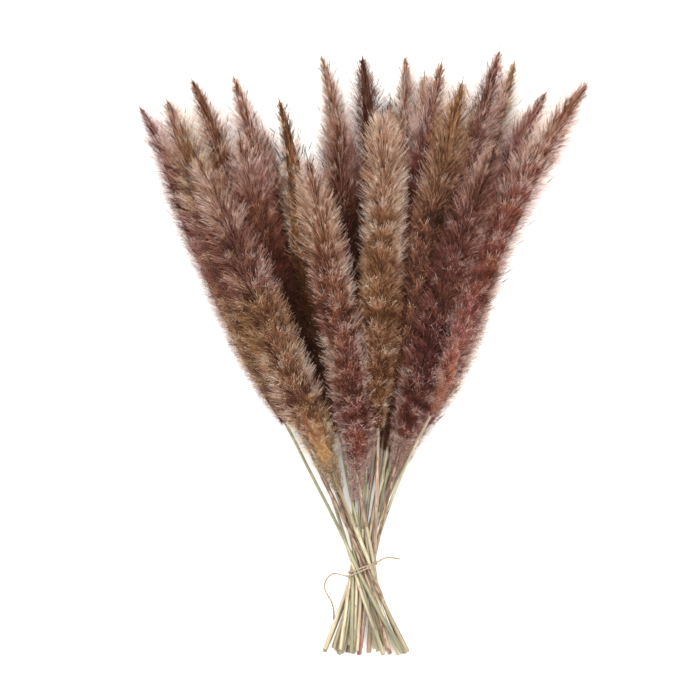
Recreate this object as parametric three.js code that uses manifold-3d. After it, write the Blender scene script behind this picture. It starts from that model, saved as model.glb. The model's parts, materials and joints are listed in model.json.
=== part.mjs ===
// A bundle of dried pampas grass, tied with jute twine and laid down on its side.
// Millimetres, +Z up, the plumes point towards +Y and the cut ends towards -Y.
// The bundle lies on the plane z = 0. The stalks are straight at the tie and fan out on both sides of it.

import * as THREE from 'three';
import { mergeVertices } from 'three/addons/utils/BufferGeometryUtils.js';
import Module from 'manifold-3d';

const wasm = await Module();
wasm.setup();

// Each stalk as it shows from above, measured from the middle of the tie: where its plume starts and
// where it ends, how high it lies in the fan (0 on the bottom, 3 on top), the plume's largest radius,
// how far below the tie its stem is cut, the stem's radius at the tie, and the stem's and plume's tones.
const stalks = [
  { base: [-56, 104], tip: [-162, 345], layer: 0.7, plume: 10.5, cut: 62, stem: 1.38, tones: ['green', 'plum'] },
  { base: [-47, 104], tip: [-144, 350], layer: 2, plume: 13, cut: 61, stem: 1.3, tones: ['straw', 'fawn'] },
  { base: [-36, 112], tip: [-125, 365], layer: 1.4, plume: 12, cut: 63, stem: 1.42, tones: ['russet', 'rust'] },
  { base: [-31, 104], tip: [-93, 368], layer: 1.5, plume: 11.5, cut: 60, stem: 1.34, tones: ['straw', 'rust'] },
  { base: [-27, 84], tip: [-91, 322], layer: 2.4, plume: 12, cut: 64, stem: 1.38, tones: ['pale', 'rust'] },
  { base: [-21, 70], tip: [-123, 306], layer: 3, plume: 13.5, cut: 63, stem: 1.42, tones: ['straw', 'fawn'] },
  { base: [-18, 96], tip: [-59, 351], layer: 1.9, plume: 11, cut: 58, stem: 1.3, tones: ['green', 'ochre'] },
  { base: [-4, 70], tip: [-41, 305], layer: 3, plume: 13.5, cut: 62, stem: 1.42, tones: ['pale', 'rust'] },
  { base: [-2, 84], tip: [-18, 338], layer: 2, plume: 12, cut: 60, stem: 1.34, tones: ['straw', 'umber'] },
  { base: [-7, 118], tip: [-27, 384], layer: 0.3, plume: 10, cut: 63, stem: 1.3, tones: ['green', 'fawn'] },
  { base: [4, 110], tip: [1, 383], layer: 1, plume: 11, cut: 61, stem: 1.34, tones: ['straw', 'plum'] },
  { base: [13, 102], tip: [14, 338], layer: 3, plume: 13.5, cut: 63, stem: 1.38, tones: ['pale', 'ochre'] },
  { base: [14, 114], tip: [32, 384], layer: 0.3, plume: 10, cut: 57, stem: 1.34, tones: ['straw', 'fawn'] },
  { base: [14, 104], tip: [46, 370], layer: 0, plume: 10, cut: 62, stem: 1.34, tones: ['green', 'fawn'] },
  { base: [17, 110], tip: [59, 379], layer: 1.3, plume: 11.5, cut: 64, stem: 1.38, tones: ['pink', 'rust'] },
  { base: [21, 98], tip: [74, 363], layer: 2.3, plume: 11.6, cut: 62, stem: 1.34, tones: ['straw', 'ochre'] },
  { base: [30, 118], tip: [102, 387], layer: 1.4, plume: 12.5, cut: 63, stem: 1.42, tones: ['pale', 'plum'] },
  { base: [34, 112], tip: [113, 380], layer: 0.3, plume: 10.5, cut: 60, stem: 1.34, tones: ['straw', 'fawn'] },
  { base: [36, 96], tip: [123, 342], layer: 0.4, plume: 11, cut: 62, stem: 1.34, tones: ['green', 'fawn'] },
  { base: [30, 100], tip: [137, 356], layer: 1.4, plume: 12, cut: 61, stem: 1.38, tones: ['straw', 'plum'] },
  { base: [41, 112], tip: [165, 362], layer: 2.2, plume: 12.5, cut: 64, stem: 1.38, tones: ['pale', 'rust'] },
  { base: [27, 88], tip: [98, 314], layer: 3, plume: 13.3, cut: 63, stem: 1.42, tones: ['russet', 'umber'] },
  { base: [20, 75], tip: [94, 293], layer: 1, plume: 12, cut: 59, stem: 1.38, tones: ['straw', 'plum'] },
  { base: [14, 84], tip: [55, 320], layer: 1, plume: 12, cut: 63, stem: 1.34, tones: ['pink', 'plum'] },
  { base: [0, 78], tip: [-8, 318], layer: 0.8, plume: 12, cut: 62, stem: 1.34, tones: ['straw', 'plum'] },
  { base: [-24, 88], tip: [-75, 330], layer: 0.3, plume: 11.5, cut: 61, stem: 1.34, tones: ['green', 'umber'] },
  { base: [-36, 92], tip: [-112, 318], layer: 0.2, plume: 11.5, cut: 63, stem: 1.34, tones: ['straw', 'ochre'] },
  { base: [6, 98], tip: [20, 350], layer: 0, plume: 11, cut: 60, stem: 1.34, tones: ['straw', 'umber'] },
];

const tones = {
  straw: '#c9b98c', pale: '#d3cba6', green: '#a9aa7c', russet: '#a07a60', pink: '#cf9f8b',
  fawn: '#a5836d', rust: '#8c5f4f', umber: '#70483d', plum: '#7d5253', ochre: '#a8845f',
  jute: '#c2a27c',
};

const gap = 0.3; // clear space between neighbours
const tieHeight = 21.5; // middle of the bundle at the tie, above the surface
const tieRows = [3, 5, 6, 6, 5, 3]; // stems in each row of the tied section, from the top
const tieSpacing = 3.1;
const layerHeight = [12, 22]; // height of the lowest layer of plumes, and of each layer above it
const fanReach = 250; // distance from the tie at which the plumes have reached their layer's height
const buttRadius = 0.5; // how much thicker a stem is at its cut end
const neckRadius = 0.25; // and how much thinner where the plume starts

// The plume's outline: how far along it, and the share of its largest radius.
const plumeOutline = [
  [0, 0.11], [0.025, 0.28], [0.07, 0.52], [0.13, 0.72], [0.2, 0.84], [0.28, 0.93], [0.36, 0.98], [0.44, 1],
  [0.52, 1], [0.6, 0.99], [0.68, 0.95], [0.76, 0.88], [0.83, 0.77], [0.9, 0.58], [0.96, 0.31], [1, 0.05],
];
const plumeSides = 8;
const stemSides = 6;
const stemRings = 9;

const twineRadius = 0.75;
const twineSides = 8;
const wrapSteps = 32;
const wrapGap = 0.55; // between the twine and the skin of the outermost stems
const wrapTurns = [{ y: 1.1, slant: 0.38 }, { y: -1.0, slant: 0.46 }];

// ---- The fan: every stalk is a chain of points at fixed distances from the tie ----

const levelStep = 13;
const settleRounds = 700;
const finishRounds = 260;
const clearRounds = 150;
const stiffness = 0.34; // while the stalks are free, and once they are only finished
const lateStiffness = 0.028;
const pullAside = 0.05;
const pullDown = 0.02;
const holdAtTie = 0.04;
const tieReach = 14;
const squeeze = 0.12;
const farApart = 1.3; // stalks this many times further apart than their radii can't touch, however they lean

function blend(table, t) {
  const at = table.findIndex(([place]) => place >= t);
  if (at <= 0) return table[Math.max(at, 0)][1];
  const [t0, v0] = table[at - 1];
  const [t1, v1] = table[at];
  return v0 + ((v1 - v0) * (t - t0)) / (t1 - t0);
}

// The places of the stems in the tied section, row by row from the top, each row from left to right.
function tieSlots() {
  return tieRows.map((count, row) => {
    const height = ((tieRows.length - 1) / 2 - row) * tieSpacing * Math.sin(Math.PI / 3);
    return Array.from({ length: count }, (_, i) => [(i - (count - 1) / 2) * tieSpacing, height]);
  });
}

// The stalks that fan out furthest left take the top row and the others follow, and in each row the
// plumes that lie higher take the places further right. Straight stems then pass without crossing.
function giveSlots() {
  const across = (stalk) => stalk.base[0] + stalk.tip[0];
  const order = [...stalks].sort((a, b) => across(a) - across(b));
  for (const row of tieSlots()) {
    const members = order.splice(0, row.length).sort((a, b) => a.layer - b.layer);
    members.forEach((stalk, i) => {
      stalk.slot = row[i];
    });
  }
}

function radiusAt(stalk, y) {
  if (y < stalk.base[1]) {
    const thicker = y < 0 ? (buttRadius * -y) / stalk.cut : (-neckRadius * y) / stalk.base[1];
    return stalk.stem + thicker;
  }
  const along = (y - stalk.base[1]) / (stalk.tip[1] - stalk.base[1]);
  return Math.max(stalk.plume * blend(plumeOutline, Math.min(along, 1)), stalk.stem - neckRadius);
}

// Where a stalk would lie with no neighbours: straight from the cut end through the tie to the start
// of the plume, then bending towards the tip as the photograph shows.
function guideAt(stalk, y) {
  const [slotX, slotZ] = stalk.slot;
  const [baseX, baseY] = stalk.base;
  const [tipX, tipY] = stalk.tip;
  const low = (baseX - slotX) / baseY;
  const high = (2 * (tipX - baseX)) / (tipY - baseY) - low;
  const t = Math.max(0, (y - baseY) / (tipY - baseY));
  const x = y < baseY
    ? slotX + low * y
    : baseX + (tipY - baseY) * (low * t + ((high - low) * t * t) / 2);
  const layerZ = layerHeight[0] + layerHeight[1] * stalk.layer;
  const turn = (Math.PI / 2) * Math.min(y / fanReach, 1);
  const rise = y < 0 ? turn : Math.sin(turn);
  return [x, THREE.MathUtils.lerp(tieHeight + slotZ, layerZ, rise)];
}

function makeChain(stalk) {
  const first = Math.floor(-stalk.cut / levelStep);
  const last = Math.ceil(stalk.tip[1] / levelStep);
  stalk.first = first;
  stalk.points = Array.from({ length: last - first + 1 }, (_, i) => {
    const y = (first + i) * levelStep;
    const [x, z] = guideAt(stalk, y);
    const radius = radiusAt(stalk, y);
    return { y, x, z: Math.max(z, radius), radius, guideX: x, guideZ: z };
  });
}

function pointAt(stalk, level) {
  return stalk.points[level - stalk.first];
}

// How much longer the cut through a leaning stalk is than its own section, for two stalks together.
function leanOf(a, b, level) {
  const slope = (stalk) => {
    const before = pointAt(stalk, level - 1) ?? pointAt(stalk, level);
    const after = pointAt(stalk, level + 1) ?? pointAt(stalk, level);
    const run = after.y - before.y;
    return ((after.x - before.x) ** 2 + (after.z - before.z) ** 2) / run ** 2;
  };
  return Math.sqrt(1 + (slope(a) + slope(b)) / 2);
}

// Moves two stalks apart between this level and the next, where they come nearest to each other.
function pushApart(a, b, level) {
  const [p, pNext] = [pointAt(a, level), pointAt(a, level + 1)];
  const [q, qNext] = [pointAt(b, level), pointAt(b, level + 1)];
  const [startX, startZ] = [q.x - p.x, q.z - p.z];
  const [turnX, turnZ] = [qNext.x - pNext.x - startX, qNext.z - pNext.z - startZ];
  const turned = turnX ** 2 + turnZ ** 2;
  const t = turned > 0 ? THREE.MathUtils.clamp(-(startX * turnX + startZ * turnZ) / turned, 0, 1) : 0;
  const [dx, dz] = [startX + t * turnX, startZ + t * turnZ];
  const near = Math.hypot(dx, dz);
  const reach = gap + (1 - t) * (p.radius + q.radius) + t * (pNext.radius + qNext.radius);
  if (near > reach * farApart) return;
  const wanted = reach * leanOf(a, b, level);
  if (near >= wanted) return;
  const share = (wanted - near) / near / 2 / ((1 - t) ** 2 + t ** 2);
  for (const [point, other, weight] of [[p, q, 1 - t], [pNext, qNext, t]]) {
    point.x -= dx * share * weight;
    point.z -= dz * share * weight;
    other.x += dx * share * weight;
    other.z += dz * share * weight;
  }
}

function straighten(stalk, amount) {
  const { points } = stalk;
  for (const axis of ['x', 'z']) {
    const was = points.map((point) => point[axis]);
    for (let i = 1; i < points.length - 1; i++) {
      points[i][axis] += amount * ((was[i - 1] + was[i + 1]) / 2 - was[i]);
    }
    const end = points.length - 1;
    points[0][axis] += amount * (2 * was[1] - was[2] - was[0]);
    points[end][axis] += amount * (2 * was[end - 1] - was[end - 2] - was[end]);
  }
}

function pullHome(stalk) {
  for (const point of stalk.points) {
    const tied = Math.abs(point.y) < tieReach;
    point.x += (tied ? holdAtTie : pullAside) * (point.guideX - point.x);
    point.z += (tied ? holdAtTie : pullDown) * (point.guideZ - point.z);
    if (tied) {
      point.x -= squeeze * point.x;
      point.z += squeeze * (tieHeight - point.z);
    }
  }
}

// The stalks are let go from their guides: each round pulls them home and keeps them straight, and
// then moves those that overlap apart. The last rounds only clear what still overlaps.
function settle() {
  giveSlots();
  stalks.forEach(makeChain);
  const lowest = Math.min(...stalks.map((stalk) => stalk.first));
  const highest = Math.max(...stalks.map((stalk) => stalk.first + stalk.points.length - 1));
  for (let round = 0; round < settleRounds + finishRounds + clearRounds; round++) {
    const free = round < settleRounds;
    for (const stalk of stalks) {
      if (free) pullHome(stalk);
      if (round < settleRounds + finishRounds) straighten(stalk, free ? stiffness : lateStiffness);
    }
    for (let level = lowest; level < highest; level++) {
      const here = stalks.filter((stalk) => pointAt(stalk, level) && pointAt(stalk, level + 1));
      here.forEach((a, i) => here.slice(i + 1).forEach((b) => pushApart(a, b, level)));
    }
    for (const point of stalks.flatMap((stalk) => stalk.points)) {
      point.z = Math.max(point.z, point.radius);
    }
  }
}

// The middle line of a stalk at height y, as a cubic through the four nearest points.
function middleAt(stalk, y) {
  const { points } = stalk;
  const justShort = 1e-3; // of the last point, so that there is always one after it
  const place = THREE.MathUtils.clamp((y - points[0].y) / levelStep, 0, points.length - 1 - justShort);
  const i = Math.floor(place);
  const t = place - i;
  const pick = (k) => points[THREE.MathUtils.clamp(k, 0, points.length - 1)];
  const along = (axis) => {
    const [a, b, c, d] = [pick(i - 1)[axis], pick(i)[axis], pick(i + 1)[axis], pick(i + 2)[axis]];
    return b + 0.5 * t * (c - a + t * (2 * a - 5 * b + 4 * c - d + t * (3 * (b - c) + d - a)));
  };
  return new THREE.Vector3(along('x'), y, along('z'));
}

// Side, forward and upward directions of a stalk at height y.
function directionsAt(stalk, y) {
  const step = 1;
  const forward = middleAt(stalk, y + step).sub(middleAt(stalk, y - step)).normalize();
  const side = new THREE.Vector3().crossVectors(forward, new THREE.Vector3(0, 0, 1)).normalize();
  const up = new THREE.Vector3().crossVectors(side, forward);
  return { side, forward, up };
}

// A turned shape along the Y axis, bent so that its axis follows the stalk's middle line.
function bentLathe(stalk, profile, sides) {
  const geometry = new THREE.LatheGeometry(profile.map(([radius, y]) => new THREE.Vector2(radius, y)), sides);
  const position = geometry.getAttribute('position');
  for (let i = 0; i < position.count; i++) {
    const y = position.getY(i);
    const { side, up } = directionsAt(stalk, y);
    const point = middleAt(stalk, y)
      .addScaledVector(side, position.getX(i))
      .addScaledVector(up, position.getZ(i));
    position.setXYZ(i, point.x, point.y, point.z);
  }
  return geometry;
}

function stemGeometry(stalk) {
  const low = -stalk.cut;
  const high = stalk.base[1] - gap;
  const profile = [[0, low]];
  for (let i = 0; i < stemRings; i++) {
    const y = low + ((high - low) * i) / (stemRings - 1);
    profile.push([radiusAt(stalk, y), y]);
  }
  profile.push([0, high]);
  return bentLathe(stalk, profile, stemSides);
}

function plumeGeometry(stalk) {
  const [low, high] = [stalk.base[1], stalk.tip[1]];
  const profile = plumeOutline.map(([t, share]) => [share * stalk.plume, low + (high - low) * t]);
  return bentLathe(stalk, [[0, low], ...profile, [0, high]], plumeSides);
}

// ---- The twine ----

const mergeDistance = 1e-4;

function toSolid(geometry) {
  const bare = geometry.clone();
  bare.deleteAttribute('normal');
  bare.deleteAttribute('uv');
  const merged = mergeVertices(bare, mergeDistance);
  const vertProperties = new Float32Array(merged.getAttribute('position').array);
  const triVerts = new Uint32Array(merged.getIndex().array);
  return new wasm.Manifold(new wasm.Mesh({ numProp: 3, vertProperties, triVerts }));
}

function toGeometry(solid) {
  const mesh = solid.getMesh();
  const geometry = new THREE.BufferGeometry();
  geometry.setAttribute('position', new THREE.BufferAttribute(mesh.vertProperties, 3));
  geometry.setIndex(new THREE.BufferAttribute(mesh.triVerts, 1));
  return geometry;
}

const skinSides = 24;
const skinPasses = 6; // each brings a point nearer to the slanted plane

// Points on the skin of every stem where the slanted plane of one turn of twine cuts it.
function skinPoints(turn) {
  const points = [];
  for (const stalk of stalks) {
    for (let i = 0; i < skinSides; i++) {
      const angle = (2 * Math.PI * i) / skinSides;
      let y = turn.y;
      let point;
      for (let pass = 0; pass < skinPasses; pass++) {
        const { side, up } = directionsAt(stalk, y);
        const radius = radiusAt(stalk, y);
        point = middleAt(stalk, y)
          .addScaledVector(side, radius * Math.cos(angle))
          .addScaledVector(up, radius * Math.sin(angle));
        y += turn.y + turn.slant * point.x - point.y;
      }
      points.push(point);
    }
  }
  return points;
}

// One turn round the stems: the outermost stem in each direction sets how far out the twine lies.
function turnPath(turn) {
  const skin = skinPoints(turn);
  const across = new THREE.Vector3(1, turn.slant, 0).normalize();
  const upward = new THREE.Vector3(0, 0, 1);
  return (angle) => {
    const outward = across.clone().multiplyScalar(Math.cos(angle)).addScaledVector(upward, Math.sin(angle));
    const outermost = skin.reduce((best, point) => (point.dot(outward) > best.dot(outward) ? point : best));
    return { middle: outermost.clone().addScaledVector(outward, twineRadius + wrapGap), outward };
  };
}

// A ring with the twine's section, turned round the Y axis and then moved onto the turn's path.
function turnGeometry(turn) {
  const path = turnPath(turn);
  const ringRadius = 10; // of the ring before it is moved
  const section = Array.from({ length: twineSides + 1 }, (_, i) => {
    const angle = (2 * Math.PI * (i % twineSides)) / twineSides;
    return new THREE.Vector2(ringRadius + twineRadius * Math.cos(angle), twineRadius * Math.sin(angle));
  });
  const geometry = new THREE.LatheGeometry(section, wrapSteps);
  const alongAxis = new THREE.Vector3(-turn.slant, 1, 0).normalize();
  const position = geometry.getAttribute('position');
  for (let i = 0; i < position.count; i++) {
    const angle = Math.atan2(position.getZ(i), position.getX(i));
    const step = (2 * Math.PI) / wrapSteps;
    const { middle, outward } = path(Math.round(angle / step) * step);
    const out = Math.hypot(position.getX(i), position.getZ(i)) - ringRadius;
    middle.addScaledVector(outward, out).addScaledVector(alongAxis, position.getY(i));
    position.setXYZ(i, middle.x, middle.y, middle.z);
  }
  return geometry;
}

// The half knot on top of the bundle: two crossed lumps that bridge the turns.
const knotAngle = 1.15; // from +X towards +Z
const knotSize = [2.6, 1.5, 1.25];
const knotCross = 0.6; // half the angle between the two lumps
const knotLift = 0.75; // above the turns' middle
const lumpSides = [12, 8];

function knotSolid() {
  const places = wrapTurns.map((turn) => turnPath(turn)(knotAngle));
  const centre = places[0].middle.clone().add(places[1].middle).multiplyScalar(0.5);
  centre.addScaledVector(places[0].outward, knotLift);
  const lumps = [-knotCross, knotCross].map((turned) => {
    const lump = new THREE.SphereGeometry(1, ...lumpSides);
    lump.scale(...knotSize);
    lump.rotateZ(turned + Math.atan(wrapTurns[0].slant));
    lump.rotateY(Math.PI / 2 - knotAngle);
    lump.translate(centre.x, centre.y, centre.z);
    return toSolid(lump);
  });
  return lumps[0].add(lumps[1]);
}

function wrapGeometry() {
  const turns = wrapTurns.map((turn) => toSolid(turnGeometry(turn)));
  return toGeometry(turns[0].add(turns[1]).add(knotSolid()));
}

// The loose ends of the twine as they lie, from the wrap outwards: each drops from the side of the
// bundle to the surface and lies on it. Seen from above they curl as the photograph shows.
const leftTail = [
  [-10.35, -5.6, 26.0], [-12.8, -5.3, 26.7], [-15.7, -4.6, 25.6], [-18.6, -4.0, 22.6], [-21.2, -3.9, 17.6],
  [-23.4, -4.8, 11.6], [-25.6, -6.8, 6.0], [-27.6, -9.8, 2.4], [-28.7, -13.4, 0.95], [-28.1, -17.0, 0.8],
  [-26.4, -20.4, 0.8], [-24.3, -23.8, 0.8], [-22.8, -27.6, 0.8], [-21.9, -31.8, 0.8], [-21.7, -35.6, 0.8],
  [-22.0, -39.0, 0.8],
];
const rightTail = [
  [11.4, 5.45, 26.95], [12.15, 5.85, 27.1], [13.0, 6.3, 27.0], [14.0, 6.85, 26.4], [15.0, 7.3, 25.3],
  [16.0, 7.65, 23.8], [17.0, 7.9, 21.9], [17.8, 8.0, 19.7], [18.6, 8.0, 17.3], [19.3, 7.95, 14.9],
  [20.0, 7.85, 12.3], [20.7, 7.7, 9.8], [21.4, 7.55, 7.3], [22.3, 7.4, 4.9], [23.4, 7.15, 2.95],
  [24.7, 6.9, 1.7], [26.3, 6.6, 1.0], [28.2, 6.2, 0.8],
];
const tailStep = 3;

function tailGeometry(points) {
  const section = new THREE.Shape();
  section.absarc(0, 0, twineRadius, 0, 2 * Math.PI, false);
  const path = new THREE.CatmullRomCurve3(points.map((point) => new THREE.Vector3(...point)));
  return new THREE.ExtrudeGeometry(section, {
    extrudePath: path,
    steps: Math.round(path.getLength() / tailStep),
    curveSegments: twineSides / 2, // a full circle takes two divisions for each of these
    bevelEnabled: false,
  });
}

// ---- The bundle ----

settle();

const bundle = new THREE.Group();
const roughness = { stem: 0.65, plume: 0.95, jute: 0.9 };

function addPiece(name, geometry, tone, kind) {
  const material = new THREE.MeshStandardMaterial({
    color: tones[tone], roughness: roughness[kind], metalness: 0,
  });
  const mesh = new THREE.Mesh(geometry, material);
  mesh.name = name;
  bundle.add(mesh);
}

stalks.forEach((stalk, i) => {
  const number = String(i + 1).padStart(2, '0');
  const [stemTone, plumeTone] = stalk.tones;
  addPiece(`stem_${number}`, stemGeometry(stalk), stemTone, 'stem');
  addPiece(`plume_${number}`, plumeGeometry(stalk), plumeTone, 'plume');
});
addPiece('twine_wrap', wrapGeometry(), 'jute', 'jute');

// The origin is the middle of the bundle's box, on the surface. The loose ends don't count.
const box = new THREE.Box3().setFromObject(bundle);
bundle.position.set(-(box.min.x + box.max.x) / 2, -(box.min.y + box.max.y) / 2, -box.min.z);

addPiece('twine_tail_left', tailGeometry(leftTail), 'jute', 'jute');
addPiece('twine_tail_right', tailGeometry(rightTail), 'jute', 'jute');

export default bundle;
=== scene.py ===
import json
import math
import bpy
import numpy as np
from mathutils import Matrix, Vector


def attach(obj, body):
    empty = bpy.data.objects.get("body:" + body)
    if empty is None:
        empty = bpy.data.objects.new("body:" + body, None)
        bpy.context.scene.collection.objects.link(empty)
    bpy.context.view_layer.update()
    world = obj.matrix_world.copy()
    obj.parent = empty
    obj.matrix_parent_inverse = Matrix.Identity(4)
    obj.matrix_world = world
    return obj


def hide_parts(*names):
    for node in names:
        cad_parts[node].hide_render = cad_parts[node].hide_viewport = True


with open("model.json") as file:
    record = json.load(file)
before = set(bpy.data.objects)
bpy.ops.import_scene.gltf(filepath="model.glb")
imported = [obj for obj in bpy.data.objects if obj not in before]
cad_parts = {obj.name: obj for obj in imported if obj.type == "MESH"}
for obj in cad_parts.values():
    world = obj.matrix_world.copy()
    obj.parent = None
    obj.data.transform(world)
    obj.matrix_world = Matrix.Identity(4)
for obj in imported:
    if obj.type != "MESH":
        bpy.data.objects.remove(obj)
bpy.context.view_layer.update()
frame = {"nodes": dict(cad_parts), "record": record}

mm = 0.001
tau = 2 * math.pi
print("frame:", len(frame["nodes"]), "nodes")


# small helpers

def linear(hexColour):
    # sRGB hex to linear: the dark end divided by 12.92, the rest raised to the power 2.4
    srgb = np.array([int(hexColour[i:i + 2], 16) for i in (1, 3, 5)]) / 255
    light = np.where(srgb <= 0.04045, srgb / 12.92, ((srgb + 0.055) / 1.055) ** 2.4)
    return (*light.tolist(), 1.0)


def addNode(tree, kind, inputs=None, stops=None, **settings):
    # one node: settings are its own properties, inputs are values or the sockets they come from, and stops
    # are a colour ramp's places and colours
    node = tree.nodes.new(kind)
    for name, value in settings.items():
        setattr(node, name, value)
    for name, value in (inputs or {}).items():
        if isinstance(value, bpy.types.NodeSocket):
            tree.links.new(value, node.inputs[name])
        else:
            node.inputs[name].default_value = value
    if stops:
        ramp = node.color_ramp
        while len(ramp.elements) < len(stops):
            ramp.elements.new(0.5)
        for element, (place, colour) in zip(ramp.elements, stops):
            element.position = place
            element.color = linear(colour)
    return node


def newMaterial(name):
    # a material with an empty tree and its output
    material = bpy.data.materials.new(name)
    material.use_nodes = True
    tree = material.node_tree
    tree.nodes.clear()
    return material, tree, addNode(tree, "ShaderNodeOutputMaterial")


def makePiece(name, points, faces, material, body="root", codes=None, extra=None):
    # a smooth mesh from an array of points and an array of faces that all have the same number of corners;
    # codes is one UV place for each point, and extra holds further values for each point
    mesh = bpy.data.meshes.new(name)
    corners = faces.shape[1]
    mesh.vertices.add(len(points))
    mesh.vertices.foreach_set("co", points.astype(np.float32).ravel())
    mesh.loops.add(faces.size)
    mesh.loops.foreach_set("vertex_index", faces.astype(np.int32).ravel())
    mesh.polygons.add(len(faces))
    mesh.polygons.foreach_set("loop_start", np.arange(0, faces.size, corners, dtype=np.int32))
    mesh.update(calc_edges=True)
    mesh.shade_smooth()
    if codes is not None:
        layer = mesh.uv_layers.new(name="OFBake", do_init=False)
        layer.uv.foreach_set("vector", codes[faces.ravel()].astype(np.float32).ravel())
    for key, values in (extra or {}).items():
        kind, slot = ("FLOAT_VECTOR", "vector") if values.ndim == 2 else ("FLOAT", "value")
        mesh.attributes.new(key, kind, "POINT").data.foreach_set(slot, values.astype(np.float32).ravel())
    mesh.materials.append(material)
    piece = bpy.data.objects.new(name, mesh)
    bpy.context.scene.collection.objects.link(piece)
    if body:
        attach(piece, body)
    return piece


def joined(parts):
    # several sets of points, faces and values for each point, made one
    start = np.cumsum([0] + [len(part[0]) for part in parts[:-1]])
    faces = np.vstack([part[1] + first for part, first in zip(parts, start)])
    return (np.vstack([part[0] for part in parts]), faces,
            *(np.concatenate([part[k] for part in parts]) for k in range(2, len(parts[0]))))


def unit(vectors):
    # each vector divided by its length
    return vectors / np.maximum(np.linalg.norm(vectors, axis=-1, keepdims=True), 1e-12)


# the camera looks straight down on the bundle, as the photograph does

cameraSetup = {
    "photoSide": 700,            # pixels
    "pixel": 0.738 * mm,         # one photo pixel on the bundle
    "tiePixel": (363, 570),      # where the tie's middle shows
    "tiePlace": (-1.343 * mm, -161.306 * mm),
    "height": 4.2,               # far enough for a studio lens to look nearly parallel
    "level": 50 * mm,            # height at which the scale holds, the middle of the plumes
}


def placeCamera():
    # lens = sensor width x distance / width of the view
    c = cameraSetup
    middle = c["photoSide"] / 2
    data = bpy.data.cameras.new("camera")
    data.lens = data.sensor_width * (c["height"] - c["level"]) / (c["photoSide"] * c["pixel"])
    data.clip_start = 0.1
    data.clip_end = 50
    camera = bpy.data.objects.new("camera", data)
    camera.location = (
        c["tiePlace"][0] + (middle - c["tiePixel"][0]) * c["pixel"],
        c["tiePlace"][1] + (c["tiePixel"][1] - middle) * c["pixel"],
        c["height"],
    )
    bpy.context.scene.collection.objects.link(camera)
    bpy.context.scene.camera = camera


placeCamera()
print("camera placed")


# lines, tubes and hairs

def runOf(line):
    # how far along a line each point is: the sum of the steps before it
    return np.concatenate([[0], np.cumsum(np.linalg.norm(np.diff(line, axis=0), axis=1))])


def pointsAt(line, places):
    # the points that far along a line
    run = runOf(line)
    return np.stack([np.interp(places, run, line[:, k]) for k in range(3)], 1)


def smoothLine(points, step, closed=False):
    # cubic through the points (the tangent at a point is half the step between its neighbours), then
    # spaced evenly
    p = np.array(points, float)
    if closed:
        padded = np.vstack([p[-1:], p, p[:2]])
    else:
        padded = np.vstack([2 * p[0] - p[1], p, 2 * p[-1] - p[-2]])
    a, b, c, d = padded[:-3, None], padded[1:-2, None], padded[2:-1, None], padded[3:, None]
    t = np.linspace(0, 1, 24, endpoint=False)[None, :, None]    # samples between two points
    fine = b + 0.5 * t * (c - a + t * (2 * a - 5 * b + 4 * c - d + t * (3 * (b - c) + d - a)))
    fine = fine.reshape(-1, 3)
    fine = np.vstack([fine, p[:1] if closed else p[-1:]])
    whole = runOf(fine)[-1]
    line = pointsAt(fine, np.linspace(0, whole, max(4, round(whole / step)) + 1))
    return line[:-1] if closed else line


def directions(line):
    # forward along the line, side level with the floor, up square to both
    forward = unit(np.gradient(line, axis=0))
    side = np.cross(forward, [0, 0, 1.0])
    steep = np.linalg.norm(side, axis=1, keepdims=True) < 1e-3
    side = unit(np.where(steep, [1.0, 0, 0], side))
    return forward, side, np.cross(side, forward)


def rolledFrames(line, closed=False):
    # as directions, but without a sudden turn where the line stands upright: each side direction is the
    # one before it, laid square to the line; round a closed line the remaining turn is spread evenly
    forward = unit(np.roll(line, -1, 0) - np.roll(line, 1, 0)) if closed else unit(np.gradient(line, axis=0))
    side = [unit(np.cross(forward[0], [0.3, 0.2, 1.0]))]
    for ahead in forward[1:]:
        side.append(unit(side[-1] - ahead * np.dot(side[-1], ahead)))
    side = np.array(side)
    up = np.cross(side, forward)
    if closed:
        last = unit(side[-1] - forward[0] * np.dot(side[-1], forward[0]))
        turn = math.atan2(np.dot(last, up[0]), np.dot(last, side[0]))
        angle = -turn * np.arange(len(line))[:, None] / len(line)
        side, up = np.cos(angle) * side + np.sin(angle) * up, np.cos(angle) * up - np.sin(angle) * side
    return forward, side, up


def tubeFaces(rings, sides, closed=False):
    # quads between the rings of a tube, and from the last ring to the first if it is closed
    ring = np.arange(rings if closed else rings - 1)[:, None]
    side = np.arange(sides)[None, :]
    nextRing = (ring + 1) % rings
    nextSide = (side + 1) % sides
    quads = [ring * sides + side, ring * sides + nextSide,
             nextRing * sides + nextSide, nextRing * sides + side]
    return np.stack([np.broadcast_to(q, (len(ring), sides)) for q in quads], -1).reshape(-1, 4)


def asTriangles(quads):
    # each quad cut along its first diagonal
    return np.vstack([quads[:, [0, 1, 2]], quads[:, [0, 2, 3]]])


def capFaces(rings, sides):
    # fans that close the first and the last ring of an open tube
    first = np.array([[0, k + 1, k] for k in range(1, sides - 1)])
    last = np.array([[0, k, k + 1] for k in range(1, sides - 1)]) + (rings - 1) * sides
    return np.vstack([first, last])


def cappedTube(rings, sides):
    # the triangles of an open tube with both ends closed
    return np.vstack([asTriangles(tubeFaces(rings, sides)), capFaces(rings, sides)])


needleFaces = np.array([[0, 1, 2], [0, 3, 1], [1, 3, 2], [2, 3, 0]])
spindleFaces = np.array([[0, 1, 2], [0, 2, 3], [0, 3, 1], [4, 2, 1], [4, 3, 2], [4, 1, 3]])


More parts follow.
